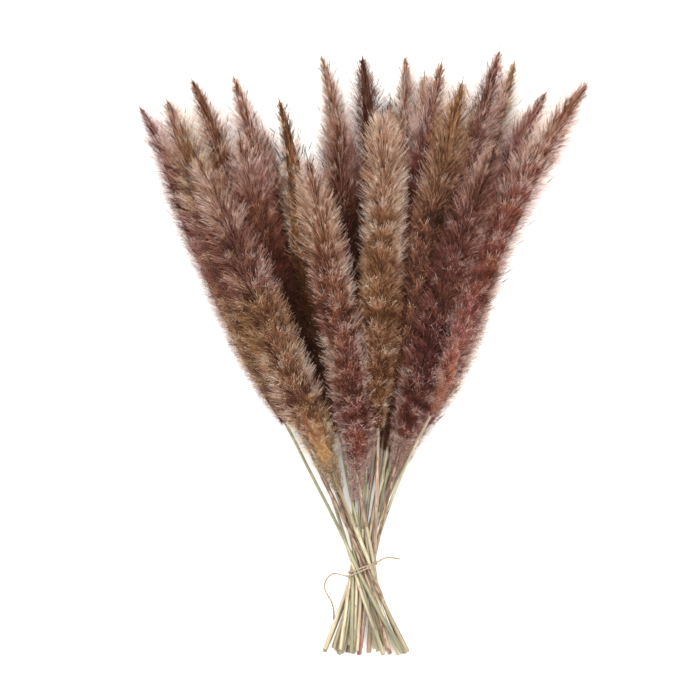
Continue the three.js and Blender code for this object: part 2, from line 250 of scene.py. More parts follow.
def hairs(places, width, rng):
    # closed hairs round a ring of three corners that lies square to the hair: from (root, tip) the ring is
    # the foot and a needle has four triangles, and from (root, middle, tip) it is in the middle, with six
    root, centre, tip = places[0], places[-2], places[-1]
    wide = np.broadcast_to(width, len(root))[:, None]
    forward = unit(tip - root)
    side = unit(np.cross(forward, rng.normal(size=root.shape)))
    up = np.cross(side, forward)
    ring = [centre + wide * (math.cos(angle) * side + math.sin(angle) * up)
            for angle in (0, tau / 3, 2 * tau / 3)]
    points = np.stack([*places[:-2], *ring, tip], 1)
    one = needleFaces if len(places) == 2 else spindleFaces
    faces = one[None] + points.shape[1] * np.arange(len(root))[:, None, None]
    return points.reshape(-1, 3), faces.reshape(-1, 3)


# the twine

twine = {
    "radius": 0.75 * mm,
    "twist": 4.6 * mm,         # length of one turn of the two plies
    "waist": 0.2,              # how little is left between the plies: share of the squared radius
    "ridges": (9, 0.035),      # strands on a ply's skin, and their depth as a share of the radius
    "sides": 20,
    "step": 0.3 * mm,
    "drift": 2.3,              # how many strands they move round a ply in one turn
    "blunt": 0.08,             # how far a cut end narrows: share of the squared radius
    "fibres": 2.6,             # loose fibres to a millimetre
    "fibreLength": (0.6 * mm, 1.7 * mm),
    "fibreWidth": 0.045 * mm,
    "fibreLean": (0.25, 0.8),  # 0 lies along the twine and 1 stands straight out
    "fibreStray": 0.25,        # how large a random part its direction has
    "fibreBow": 0.12,          # how far its middle is bent along the twine: share of its length
    "tailLength": (65 * mm, 35 * mm),
}

# from part.mjs, in millimetres from the middle of the tie
leftTail = [
    (-10.35, -5.6, 26.0), (-12.8, -5.3, 26.7), (-15.7, -4.6, 25.6), (-18.6, -4.0, 22.6), (-21.2, -3.9, 17.6),
    (-23.4, -4.8, 11.6), (-25.6, -6.8, 6.0), (-27.6, -9.8, 2.4), (-28.7, -13.4, 0.95), (-28.1, -17.0, 0.8),
    (-26.4, -20.4, 0.8), (-24.3, -23.8, 0.8), (-22.8, -27.6, 0.8), (-21.9, -31.8, 0.8), (-21.7, -35.6, 0.8),
    (-22.0, -39.0, 0.8),
]
rightTail = [
    (11.4, 5.45, 26.95), (12.15, 5.85, 27.1), (13.0, 6.3, 27.0), (14.0, 6.85, 26.4), (15.0, 7.3, 25.3),
    (16.0, 7.65, 23.8), (17.0, 7.9, 21.9), (17.8, 8.0, 19.7), (18.6, 8.0, 17.3), (19.3, 7.95, 14.9),
    (20.0, 7.85, 12.3), (20.7, 7.7, 9.8), (21.4, 7.55, 7.3), (22.3, 7.4, 4.9), (23.4, 7.15, 2.95),
    (24.7, 6.9, 1.7), (26.3, 6.6, 1.0), (28.2, 6.2, 0.8),
]
tieShift = np.array([-1.343, -161.306, 0.069])


def juteMaterial():
    # Two-ply jute garden twine: spun from coarse bast fibres, so dull, hairy and streaked along the lay of
    # its plies. Fibre bundles are about 0.2 mm across. The attribute holds the place in the untwisted ply.
    material, tree, output = newMaterial("two-ply jute")
    place = addNode(tree, "ShaderNodeAttribute", attribute_name="straight").outputs["Vector"]
    noises = []
    for perMm, detail in (((5.2, 5.2, 0.42), 4.0), ((0.3, 0.3, 0.16), 2.0)):
        laid = addNode(tree, "ShaderNodeMapping", {"Vector": place, "Scale": [value / mm for value in perMm]})
        noises.append(addNode(tree, "ShaderNodeTexNoise", {
            "Vector": laid.outputs["Vector"], "Scale": 1.0, "Detail": detail}).outputs["Fac"])
    streaks, patches = noises
    colour = addNode(tree, "ShaderNodeValToRGB", {"Fac": streaks}, [
        (0.28, "#5c4e41"), (0.45, "#857360"), (0.58, "#a28d76"), (0.75, "#c1af96")])
    value = addNode(tree, "ShaderNodeMapRange", {
        "Value": patches, "From Min": 0.3, "From Max": 0.7, "To Min": 0.8, "To Max": 1.15})
    tinted = addNode(tree, "ShaderNodeHueSaturation", {
        "Color": colour.outputs["Color"], "Value": value.outputs["Result"]})
    bump = addNode(tree, "ShaderNodeBump", {"Height": streaks, "Strength": 0.6, "Distance": 0.1 * mm})
    body = addNode(tree, "ShaderNodeBsdfPrincipled", {
        "Base Color": tinted.outputs["Color"], "Roughness": 0.82, "IOR": 1.45, "Specular IOR Level": 0.3,
        "Sheen Weight": 0.2, "Normal": bump.outputs["Normal"],
    })
    tree.links.new(body.outputs["BSDF"], output.inputs["Surface"])
    return material


jute = juteMaterial()


def pliedTwine(line, seed, closed=False):
    # the section is two lobes, radius x sqrt(waist + (1 - waist) cos^2(angle - turn)) with fine ridges,
    # and turns as it goes along the line
    t, rng = twine, np.random.default_rng(seed)
    forward, side, up = rolledFrames(line, closed)
    along = runOf(line)
    whole = along[-1] + (np.linalg.norm(line[0] - line[-1]) if closed else 0)
    turns = whole / t["twist"]
    if closed:
        turns = max(1, round(2 * turns)) / 2
    turn = (tau * turns * along / whole)[:, None]
    angle = tau * np.arange(t["sides"])[None, :] / t["sides"]
    strands, deep = t["ridges"]
    size = t["radius"] * np.sqrt(t["waist"] + (1 - t["waist"]) * np.cos(angle - turn) ** 2)
    size = size * (1 + deep * np.sin(strands * (angle - turn) - t["drift"] * turn) - deep)
    if not closed:
        ends = np.minimum(along, along[-1] - along)[:, None] / t["radius"]
        size = size * np.sqrt(np.clip(ends * (2 - ends), t["blunt"], 1) * (ends < 1) + (ends >= 1))
    out = np.cos(angle)[..., None] * side[:, None] + np.sin(angle)[..., None] * up[:, None]
    points = line[:, None] + size[..., None] * out
    straight = np.stack([size * np.cos(angle - turn), size * np.sin(angle - turn),
                         np.broadcast_to(along[:, None], size.shape) + seed], -1)
    grid = (len(line), t["sides"])
    faces = asTriangles(tubeFaces(*grid, closed=True)) if closed else cappedTube(*grid)
    parts = [(points.reshape(-1, 3), faces, straight.reshape(-1, 3))]

    # loose fibres stand out from it
    count = round(whole / mm * t["fibres"])
    ring = rng.integers(1, len(line) - 1, count)
    which = rng.integers(0, t["sides"], count)
    root = line[ring] + 0.8 * (points[ring, which] - line[ring])
    long = rng.uniform(*t["fibreLength"], count)[:, None]
    lean = rng.uniform(*t["fibreLean"], count)[:, None]
    onward = forward[ring] * rng.choice([-1.0, 1.0], count)[:, None]
    stray = t["fibreStray"] * rng.normal(size=(count, 3))
    tip = root + long * (lean * out[ring, which] + (1 - lean) * onward + stray)
    middle = (root + tip) / 2 + t["fibreBow"] * long * onward
    tip[:, 2] = np.maximum(tip[:, 2], 0.1 * mm)
    middle[:, 2] = np.maximum(middle[:, 2], 0.15 * mm)
    fibre, fibreFaces = hairs((root, middle, tip), t["fibreWidth"], rng)
    at = np.repeat(straight[ring, which], 5, axis=0) + 0.05 * mm * rng.normal(size=(5 * count, 3))
    parts.append((fibre, fibreFaces, at))
    return joined(parts)


def buildTail(name, route, seed):
    # a loose end: plied twine along its CAD route, laid as a cord
    line = smoothLine((np.array(route) + tieShift) * mm, twine["step"])
    points, faces, straight = pliedTwine(line, seed)
    piece = makePiece(f"{name}_plied", points, faces, jute, extra={"straight": straight})
    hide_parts(name)
    print(name, "is", round(runOf(line)[-1] / mm, 1), "mm long")


buildTail("twine_tail_left", leftTail, 1)
buildTail("twine_tail_right", rightTail, 2)
print("twine ends laid")


# what the CAD solids say

slotOf = {part["node"]: part["material_slot"] for part in frame["record"]["subparts"]}


def nodePoints(name):
    # a CAD solid's separate corners
    mesh = frame["nodes"][name].data
    places = np.empty(3 * len(mesh.vertices), np.float32)
    mesh.vertices.foreach_get("co", places)
    return np.unique(places.reshape(-1, 3).round(6), axis=0).astype(float)


def middleLine(name, degree, count):
    # the middle of a solid that runs along Y, at evenly spaced y: x and z are least-squares polynomials of
    # y over its corners. With it come each corner's distance from that line and its share of the length.
    points = nodePoints(name)
    low, high = points[:, 1].min(), points[:, 1].max()
    place = (points[:, 1] - low) / (high - low)
    fits = [np.polyfit(place, points[:, axis], degree) for axis in (0, 2)]
    even = np.linspace(0, 1, count)
    line = np.stack([np.polyval(fits[0], even), low + even * (high - low), np.polyval(fits[1], even)], 1)
    off = np.linalg.norm(points[:, None] - line[None], axis=2).min(1)
    return line, off, place


def makeLine(line):
    # a line with its directions, to be read at any share of its length
    forward, side, up = directions(line)
    run = runOf(line)
    return {"at": run / run[-1], "length": run[-1],
            "middle": line, "forward": forward, "side": side, "up": up}


def readLine(line, t, key):
    # the middle or a direction at shares t of the line's length; past its ends the line runs on straight
    inside = np.clip(t, 0, 1)
    found = np.stack([np.interp(inside, line["at"], line[key][:, axis]) for axis in range(3)], -1)
    if key == "middle":
        found = found + readLine(line, inside, "forward") * ((t - inside) * line["length"])[..., None]
    return found


def placeOn(line, t, angle, outwards, along=0, around=0):
    # points beside a line: its middle at share t + along x forward + outwards x out + around x across, where
    # out = cos(angle) side + sin(angle) up, and across is square to out and forward
    forward, side, up = (readLine(line, t, key) for key in ("forward", "side", "up"))
    out = np.cos(angle)[..., None] * side + np.sin(angle)[..., None] * up
    along, outwards, around = (np.asarray(value)[..., None] for value in (along, outwards, around))
    return readLine(line, t, "middle") + along * forward + outwards * out + around * np.cross(out, forward)


# the stems

stemForm = {
    "sides": 18,
    "step": 2.4 * mm,
    "girth": 0.98,              # share of the CAD solid's radius, which is six-sided
    "ribs": (13, 0.018),        # fine ribs round the skin, and their depth as a share of the radius
    "ribTurn": 0.01 / mm,       # how fast they turn round it
    "hollow": (0.58, 5 * mm),   # share of the radius, and how deep it shows
    "slant": (0.22, 6 * mm),    # slope of the cut end, and how far up the rings still slant
    "firstNode": (16 * mm, 52 * mm),
    "nodeEvery": (52 * mm, 88 * mm),
    "nodeSwell": 0.08 * mm,
    "nodeWidth": 1.5 * mm,
    "nodeMark": 0.3,            # how dark the ring at a node is
    "blush": {15: 0.7, 24: 0.35, 22: 0.25, 12: 0.4},   # how pink some stems are at the cut end
    "blushEnd": 26 * mm,
    "neck": 2.0 * mm,           # how far a stem goes on into its plume
}

# old leaf sheaths that still clasp a stem: the stem, where the sheath begins and ends from the cut end and
# how far its mouth gapes, in millimetres, and the slot it takes its colour from
sheaths = [
    (2, 42, 172, 0.4, "stem_russet"),
    (8, 100, 128, 0.7, "stem_pink"),
    (9, 96, 142, 2.6, "stem_green"),
    (11, 90, 150, 1.6, "stem_green"),
    (13, 116, 166, 1.2, "stem_pink"),
    (6, 62, 126, 0.9, "stem_pale"),
    (4, 92, 150, 2.4, "stem_russet"),
    (5, 88, 132, 0.8, "stem_russet"),
    (16, 100, 150, 1.0, "stem_pale"),
    (17, 110, 160, 1.4, "stem_green"),
    (12, 46, 186, 0.2, "stem_pink"),
]

sheathForm = {
    "rings": 26,
    "sides": 18,
    "thick": 0.12 * mm,
    "gap": 0.10 * mm,           # between it and the stem
    "inside": 0.25,             # how low its inner side reaches, as a share of its length
    "slant": 0.30,              # how much shorter it is on its low side
    "flare": 2.2,               # the power of the height with which it gapes
    "closed": 0.15,             # how much of that it gapes on its closed side
}


def culmMaterial(name, colours, blotch, share):
    # Dry grass stem: a smooth skin with a faint gloss, streaked along its length by its fibres (streaks
    # about 0.25 mm wide and 20 mm long), mottled with weathered blotches about 1.5 mm across and 6 mm long,
    # and with a dark ring at each node. A higher share lets the blotches cover more of the skin. The
    # attribute "straight" is the place on the unbent stem, and "mark" is dark above 0 and pink below it; the
    # dark also paints shade down the hollow of a cut end.
    material, tree, output = newMaterial(name)
    place = addNode(tree, "ShaderNodeAttribute", attribute_name="straight").outputs["Vector"]
    noises = []
    for perMm, detail in (((3.8, 3.8, 0.05), 3.0), ((0.62, 0.62, 0.16), 4.0), ((0.26, 0.26, 0.022), 2.0)):
        laid = addNode(tree, "ShaderNodeMapping", {"Vector": place, "Scale": [value / mm for value in perMm]})
        noises.append(addNode(tree, "ShaderNodeTexNoise", {
            "Vector": laid.outputs["Vector"], "Scale": 1.0, "Detail": detail}).outputs["Fac"])
    streaks, mottle, patches = noises
    skin = addNode(tree, "ShaderNodeValToRGB", {"Fac": streaks}, list(zip((0.3, 0.5, 0.7), colours)))
    spots = addNode(tree, "ShaderNodeMapRange", {
        "Value": mottle, "From Min": 0.60 - share, "From Max": 0.66 - share, "To Max": 0.85})
    blotched = addNode(tree, "ShaderNodeMix", {
        "Factor": spots.outputs["Result"], 6: skin.outputs["Color"], 7: linear(blotch)}, data_type="RGBA")
    mark = addNode(tree, "ShaderNodeAttribute", attribute_name="mark").outputs["Fac"]
    ringed = addNode(tree, "ShaderNodeMix", {
        "Factor": mark, 6: blotched.outputs[2], 7: linear("#4f3a28")}, data_type="RGBA")
    blush = addNode(tree, "ShaderNodeMapRange", {"Value": mark, "From Max": -1.0})
    blushed = addNode(tree, "ShaderNodeMix", {
        "Factor": blush.outputs["Result"], 6: ringed.outputs[2], 7: linear("#a9605a")}, data_type="RGBA")
    value = addNode(tree, "ShaderNodeMapRange", {
        "Value": patches, "From Min": 0.32, "From Max": 0.68, "To Min": 0.50, "To Max": 1.12})
    toned = addNode(tree, "ShaderNodeHueSaturation", {
        "Color": blushed.outputs[2], "Value": value.outputs["Result"]})
    bump = addNode(tree, "ShaderNodeBump", {"Height": streaks, "Strength": 0.35, "Distance": 0.06 * mm})
    body = addNode(tree, "ShaderNodeBsdfPrincipled", {
        "Base Color": toned.outputs["Color"], "Roughness": 0.5, "IOR": 1.5, "Specular IOR Level": 0.45,
        "Normal": bump.outputs["Normal"],
    })
    tree.links.new(body.outputs["BSDF"], output.inputs["Surface"])
    return material


culms = {
    "stem_straw": culmMaterial("straw-coloured culm", ("#5f5039", "#9d8d71", "#cdbf9f"), "#6b4c3a", 0.0),
    "stem_pale": culmMaterial("bleached culm", ("#6d624b", "#a99e82", "#d6ccb0"), "#7a5f4a", -0.02),
    "stem_green": culmMaterial("grey-green culm", ("#4a4830", "#878363", "#b7b08e"), "#6f5a42", 0.0),
    "stem_russet": culmMaterial("russet blotched culm", ("#513b2b", "#8d745a", "#bfa98b"), "#512b1c", 0.11),
    "stem_pink": culmMaterial("pinkish culm", ("#5f4738", "#a08874", "#cbb69f"), "#7d5346", 0.05),
}


def stemLine(number):
    # the CAD stem's middle line from its cut end up, and its radius there: a least-squares parabola over
    # the corners of its outside
    line, off, place = middleLine(f"stem_{number:02d}", 6, 400)
    outside = off > 0.6 * np.median(off)
    radius = np.polyval(np.polyfit(place[outside], off[outside], 2), np.linspace(0, 1, 400))
    return makeLine(line), radius * stemForm["girth"]


stemLines = {number: stemLine(number) for number in range(1, 29)}


def stemRings(number, length, radii, rng):
    # how far along each ring is, its radius and its mark: from the bottom of the hollow, out over the cut
    # end, up the skin, which swells at a node by exp(-(distance / width)^2), and to a point in the plume;
    # a mark above 0 is dark and one below 0 pink
    form = stemForm
    nodes = [rng.uniform(*form["firstNode"])]
    while nodes[-1] < length:
        nodes.append(nodes[-1] + rng.uniform(*form["nodeEvery"]))
    close = [node + k * form["nodeWidth"] for node in nodes for k in (-2, -1, -0.5, 0, 0.5, 1, 2)]
    close = [place for place in close if 1 * mm < place < length]
    end = length + form["neck"]
    outside = np.unique(np.concatenate([np.arange(form["step"], length, form["step"]), close, [end]]))
    wide, deep = form["hollow"]
    along = np.concatenate([[deep, deep, 0, 0, 0.25 * mm], outside, [end]])
    share = np.concatenate([[0.02, wide - 0.03, wide, 0.95, 1], np.full(len(outside), 1.0), [0.02]])
    apart = (along[:, None] - np.array(nodes)[None, :]) / form["nodeWidth"]
    skin = share > 0.99
    radius = share * np.interp(along / length, np.linspace(0, 1, len(radii)), radii)
    radius = radius + skin * form["nodeSwell"] * np.exp(-apart ** 2).sum(1)
    mark = skin * np.clip(form["nodeMark"] * np.exp(-(apart - 0.5) ** 2 * 4).sum(1), 0, 1)
    blush = form["blush"].get(number, 0) * skin * np.clip(1 - along / form["blushEnd"], 0, 1)
    mark = np.where(blush > mark, -blush, mark)
    mark[:2] = 1                # painted shade down the hollow of the cut end
    mark[2:4] = 0.15            # the cut
    return along, radius, mark


def buildStem(number):
    # ribs round the skin, radius x (1 + depth x sin(ribs x angle + a slow turn)), on a bent tube whose
    # first rings are slid along by slope x radius x cos(angle), which slants the cut
    name, form = f"stem_{number:02d}", stemForm
    rng = np.random.default_rng(100 + number)
    line, radii = stemLines[number]
    along, radius, mark = stemRings(number, line["length"], radii, rng)
    angle = tau * np.arange(form["sides"])[None, :] / form["sides"]
    ribs, depth = form["ribs"]
    place = along[:, None]
    size = radius[:, None] * (1 + depth * np.sin(ribs * angle + form["ribTurn"] * place) - depth)
    slope, span = form["slant"]
    cut = slope * np.clip(1 - place / span, 0, 1)
    t = (place + cut * size * np.cos(angle - rng.uniform(0, tau))) / line["length"]
    points = placeOn(line, t, angle, size)
    pattern = np.broadcast_to(place, size.shape) + 1.7 * number     # each stem has its own stretch of it
    straight = np.stack([size * np.cos(angle), size * np.sin(angle), pattern], -1)
    faces = cappedTube(len(along), form["sides"])
    piece = makePiece(f"{name}_culm", points.reshape(-1, 3), faces, culms[slotOf[name]], extra={
        "straight": straight.reshape(-1, 3), "mark": np.repeat(mark, form["sides"])})
    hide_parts(name)
    return len(faces)


def buildSheath(index, number, low, high, gape, slot):
    # a shell round the stem, open at the top: its outside runs up close to the stem and gapes by
    # gape x height^flare towards a mouth cut on a slant, and its inside returns a wall's thickness within
    form = sheathForm
    line, radii = stemLines[number]
    rings, sides = form["rings"], form["sides"]
    share = np.concatenate([np.linspace(0, 1, rings), np.linspace(1, form["inside"], rings)])[:, None]
    inner = (np.arange(2 * rings) >= rings)[:, None]
    angle = tau * np.arange(sides)[None, :] / sides
    openSide = 0.5 - 0.5 * np.cos(angle - 0.8 - 1.9 * index)     # each sheath gapes in its own direction
    along = (low + (high - low) * share * (1 - form["slant"] * share * openSide)) * mm
    t = along / line["length"]
    stem = np.interp(t, np.linspace(0, 1, len(radii)), radii)
    opened = gape * mm * share ** form["flare"] * (form["closed"] + (1 - form["closed"]) * openSide)
    size = stem + form["gap"] + opened - form["thick"] * inner
    size = np.where((share < 0.01) & ~inner, 0.9 * stem, size)   # the foot begins inside the stem
    points = placeOn(line, t, angle, size)
    straight = np.stack([size * np.cos(angle), size * np.sin(angle), along + 0.6 * index], -1)
    mark = np.broadcast_to(0.35 * share ** 6 + 0.3 * (share < 0.06), size.shape)   # dark mouth and foot
    faces = cappedTube(2 * rings, sides)
    piece = makePiece(f"stem_{number:02d}_sheath", points.reshape(-1, 3), faces, culms[slot], extra={
        "straight": straight.reshape(-1, 3), "mark": mark.ravel()})
    return len(faces)


total = sum(buildStem(number) for number in stemLines)
total += sum(buildSheath(index, *sheath) for index, sheath in enumerate(sheaths))
print("stems:", len(stemLines), "with", total, "triangles")


# the wrap

wrapForm = {
    "turns": [(1.1 * mm, 0.38), (-1.0 * mm, 0.46)],   # height along the bundle, and slant
    "bed": 0.86,                # how far the twine's middle lies off the stems, in twine radii
    "ease": 4,                  # samples to either side over which a turn's corners are rounded
    "knotAngle": 1.15,          # from +X towards +Z
    "knotSize": 0.62 * mm,
    "knotShape": (0.75, 1.1),   # its length along the bundle and its height, as shares of its width
    "knotLift": 0.75 * mm,
    "bridge": 5 * mm,           # how far the twine runs along the wrap before a loose end leaves it
}


def turnLine(along, slant):
    # in each direction round the bundle the twine touches the stem that reaches furthest; its line there
    # is that stem's middle plus (its radius + the twine's share) outwards
    tie = tieShift * mm
    stems = []
    for line, radii in stemLines.values():
        index = np.arange(len(radii))
        y = tie[1] + along
        for _ in range(4):      # each round comes closer to where the stem meets the slanted plane
            at = np.interp(y, line["middle"][:, 1], index)
            x, z, r = (np.interp(at, index, values)
                       for values in (line["middle"][:, 0], line["middle"][:, 2], radii))
            y = tie[1] + along + slant * (x - tie[0])
        stems.append((x, z, r))
    stems = np.array(stems)
    angle = np.linspace(0, tau, 720, endpoint=False)[:, None]
    reach = stems[:, 0] * np.cos(angle) + stems[:, 1] * np.sin(angle) + stems[:, 2]
    far = stems[reach.argmax(1)]
    size = far[:, 2:] + wrapForm["bed"] * twine["radius"]
    x = far[:, :1] + size * np.cos(angle)
    z = far[:, 1:2] + size * np.sin(angle)
    loop = np.hstack([x, tie[1] + along + slant * (x - tie[0]), z])
    loop = np.vstack([loop, loop[:1]])
    whole = runOf(loop)[-1]
    line = pointsAt(loop, np.linspace(0, whole, round(whole / twine["step"]), endpoint=False))
    near = range(-wrapForm["ease"], wrapForm["ease"])
    return np.mean([np.roll(line, k, axis=0) for k in near], axis=0)


def knotLine(turns):
    # the half knot: a trefoil, x = sin t + 2 sin 2t, y = cos t - 2 cos 2t, z = -sin 3t, seated where both
    # turns reach furthest out at the knot's angle
    form = wrapForm
    centre = (turns[0].mean(0) + turns[1].mean(0)) / 2
    outward = np.array([math.cos(form["knotAngle"]), 0, math.sin(form["knotAngle"])])
    sideways = np.array([-outward[2], 0, outward[0]])
    seats = []
    for line in turns:
        off = line - centre
        seats.append(line[(off @ outward - 0.6 * np.abs(off @ sideways)).argmax()])
    seat = np.mean(seats, axis=0) + form["knotLift"] * outward
    aside = unit(np.array([outward[2], form["turns"][0][1] * outward[2], -outward[0]]))
    ahead = np.cross(outward, aside)
    t = np.linspace(0, tau, 90, endpoint=False)[:, None]
    long, high = form["knotShape"]
    knot = (np.sin(t) + 2 * np.sin(2 * t)) * aside + long * (np.cos(t) - 2 * np.cos(2 * t)) * ahead
    knot = seat + form["knotSize"] * (knot - high * np.sin(3 * t) * outward)
    return smoothLine(knot, twine["step"], closed=True)


def feedTwine(route, line):
    # the twine of a loose end follows its turn of the wrap, then leaves for the end's first point
    end = (np.array(route[:2]) + tieShift) * mm
    start = int(np.linalg.norm(line - end[0], axis=1).argmin())
    away = round(wrapForm["bridge"] / twine["step"])
    ways = [line[(start + k * away) % len(line)] for k in (-1, 1)]
    back = 1 if ways[1][2] > ways[0][2] else -1
    feed = [line[(start + back * round(share * away)) % len(line)]
            + 0.5 * twine["radius"] * np.array([0, 0, 1 - share]) for share in (1.0, 0.66, 0.33)]
    off = np.linalg.norm(line[start] - end[0]) / mm
    print("loose end leaves the wrap", round(off, 2), "mm from its turn")
    return pliedTwine(smoothLine([*feed, *end], twine["step"]), 21 + back)


def buildWrap():
    # two turns, the knot on them, and the twine that leads to the two loose ends
    turns = [turnLine(*turn) for turn in wrapForm["turns"]]
    parts = [pliedTwine(line, 11 + index, closed=True) for index, line in enumerate(turns)]
    parts.append(pliedTwine(knotLine(turns), 17, closed=True))
    parts.append(feedTwine(leftTail, turns[1]))
    parts.append(feedTwine(rightTail, turns[0]))
    points, faces, straight = joined(parts)
    piece = makePiece("twine_wrap_plied", points, faces, jute, extra={"straight": straight})
    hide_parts("twine_wrap")
    print("wrap:", len(faces), "triangles")


buildWrap()


# the plumes

plumeForm = {
    "spread": 1.22,             # the fluff's radius, as a multiple of the CAD solid's
    "from": 0.02,               # where the fluff begins and ends, as shares of the plume's length
    "to": 0.985,
    "warmRoot": 0.18,           # how much warmer than its plume a hair's root is
    "waves": (0.32, 0.20),      # how much the tone changes slowly, and in patches
    "floorGap": 0.15 * mm,
}

# What is usual for a plume, and below it what each one has of its own.
usualLook = {
    "fill": 0.41,               # share of the length over which the foot widens
    "girth": 1,                 # share of the CAD solid's radius
    "bend": 0,                  # how far the lower half sways, and the tip leans over, in millimetres
    "hook": 0,
    "dense": 1,                 # number of tufts, of wisps in the halo, and of sprigs, as a multiple
    "halo": 1,
    "sprigs": 1,
    "sprigFrom": 0.5,           # the lowest sprig's share of the length
    "skirt": 0,                 # how far thin fluff runs down the stem, in millimetres
    "core": 0,                  # how pale the dense middle is, and how much paler at the foot
    "footCore": 0,
    "footSpan": 0.16,           # share of the length that counts as the foot
    "cover": 1,                 # how strongly the shade of the plumes above is painted on it
}

# tone: 0 is the cool end of a plume's palette and 1 the warm end. foot, top: its tone there, where it
# differs. taper: share of the length over which the tip narrows. light: how pale it is, at evenly spaced
# places from a tenth of its length to nine tenths: partly its own paleness and partly painted light and
# shade, low where it lies in shade between and under other plumes and high where it is lit.
plumeLooks = {
    1: dict(tone=0.25, foot=0.1, top=0.45, taper=0.46, hook=-5, sprigs=1.2, core=0.05, cover=0.5,
        light=(1.55, 1.6, 1.4, 2.15, 1.15)),
    2: dict(tone=0.55, top=0.25, taper=0.22, hook=-2, core=0.04, light=(0.84, 0.9, 0.6, 1.45, 3.5)),
    3: dict(tone=0.4, top=0.9, taper=0.38, hook=-3, light=(0.4, 0.6, 1.1, 2.0, 0.7)),
    4: dict(tone=0.35, top=0.6, taper=0.38, hook=-4, sprigs=1.3, core=0.02,
        light=(0.1, 0.1, 0.28, 2.6, 1.7)),
    5: dict(tone=0.55, top=0.7, taper=0.36, light=(0.03, 0.03, 0.05, 0.45, 1.0)),
    6: dict(tone=0.36, foot=1.25, fill=0.32, taper=0.4, girth=0.95, dense=1.2, skirt=14, footCore=0.36,
        light=(2.8, 1.15, 0.64, 1.0, 1.55)),
    7: dict(tone=0.5, foot=0.2, top=0.9, taper=0.4, hook=-4, dense=0.8, halo=0.3, sprigs=7.0,
        light=(0.04, 0.05, 0.24, 2.5, 1.25)),
    8: dict(tone=0.45, foot=0.1, top=1.0, fill=0.24, taper=0.34, girth=0.86, bend=9.5, dense=1.2, skirt=22,
        footCore=0.08, light=(2.0, 1.15, 1.7, 0.85, 0.95)),
    9: dict(tone=0.4, top=0.65, taper=0.22, skirt=12, light=(0.05, 0.02, 0.02, 0.25, 1.4)),
    10: dict(tone=0.0, top=0.2, taper=0.42, hook=-5, dense=0.8, sprigs=2.0, core=0.1,
        light=(0.5, 0.9, 1.2, 1.8, 2.2)),
    11: dict(tone=0.5, top=1.0, taper=0.3, hook=-2, light=(0.1, 0.08, 0.07, 0.1, 0.42)),
    12: dict(tone=0.55, foot=0.4, top=0.6, taper=0.24, girth=0.89, dense=1.2, sprigs=0.5,
        light=(1.05, 0.9, 0.86, 1.1, 2.1)),
    13: dict(tone=0.4, taper=0.4, dense=0.8, sprigs=1.5, core=0.1, cover=0.5,
        light=(1.1, 1.4, 1.8, 2.3, 2.7)),
    14: dict(tone=0.4, taper=0.34, dense=0.7, skirt=12, core=0.1, cover=0.3,
        light=(1.0, 1.3, 1.6, 2.2, 2.9)),
    15: dict(tone=0.1, top=0.5, taper=0.32, cover=0.8, light=(0.4, 0.75, 1.75, 2.5, 1.0)),
    16: dict(tone=0.0, top=0.8, fill=0.36, taper=0.28, skirt=12, light=(0.34, 0.7, 0.56, 0.92, 0.7)),
    17: dict(tone=0.55, top=0.9, taper=0.36, cover=0.7, light=(0.95, 1.5, 2.9, 1.45, 1.3)),
    18: dict(tone=0.6, top=0.8, taper=0.42, hook=1, dense=0.75, core=0.05, cover=0.4,
        light=(1.3, 2.0, 2.8, 3.6, 1.9)),
    19: dict(tone=0.75, taper=0.42, dense=0.7, core=0.1, cover=0.5, light=(1.8, 2.2, 2.8)),
    20: dict(tone=0.35, taper=0.4, sprigs=1.5, core=0.12, cover=0.5, light=(2.5, 2.5, 2.6, 3.8, 1.9)),
    21: dict(tone=0.35, foot=0.08, top=0.7, fill=0.3, taper=0.38, bend=-8.5, hook=3, halo=1.6, sprigs=3.0,
        sprigFrom=0.08, core=0.08, footCore=0.2, footSpan=0.25, cover=0.15,
        light=(3.6, 3.2, 2.1, 1.2, 0.85)),
    22: dict(tone=0.3, top=0.45, fill=0.3, taper=0.4, girth=0.87, dense=1.2, halo=0.85, sprigs=1.5,
        skirt=18, footCore=0.08, light=(1.95, 0.9, 0.58, 0.76, 0.92)),
    23: dict(tone=0.25, foot=0.05, fill=0.3, taper=0.38, sprigs=2.5, sprigFrom=0.05, skirt=19, core=0.1,
        footCore=0.05, cover=0.5, light=(1.5, 1.4, 1.2)),
    24: dict(tone=0.55, taper=0.38, dense=0.85, core=0.16, cover=0.2, light=(1.8, 1.5, 1.2)),
    25: dict(tone=0.2, taper=0.38, dense=0.7, skirt=16, core=0.25, cover=0.3,
        light=(0.9, 1.2, 1.6, 2.3, 3.0)),
    26: dict(tone=0.45, taper=0.4, dense=0.7, core=0.6, cover=0.2, light=(0.6, 1.3, 2.1, 2.8, 3.4)),
    27: dict(tone=0.7, taper=0.42, dense=0.6, light=(0.9, 1, 1.1)),
    28: dict(tone=0.1, taper=0.5, dense=0.6, core=0.7, cover=0.2, light=(1.9, 2.1, 2.4, 2.8, 3.2)),
}
plumeLooks = {number: {**usualLook, "foot": look["tone"], "top": look["tone"], **look}
              for number, look in plumeLooks.items()}

# The palette's second axis runs from the dark root of a hair to its pale tip; past silkEnd it is wood.
silkEnd = 0.86
darkWood = 0.915
paleWood = 0.96
woodColours = ("#43352d", "#b59a80")


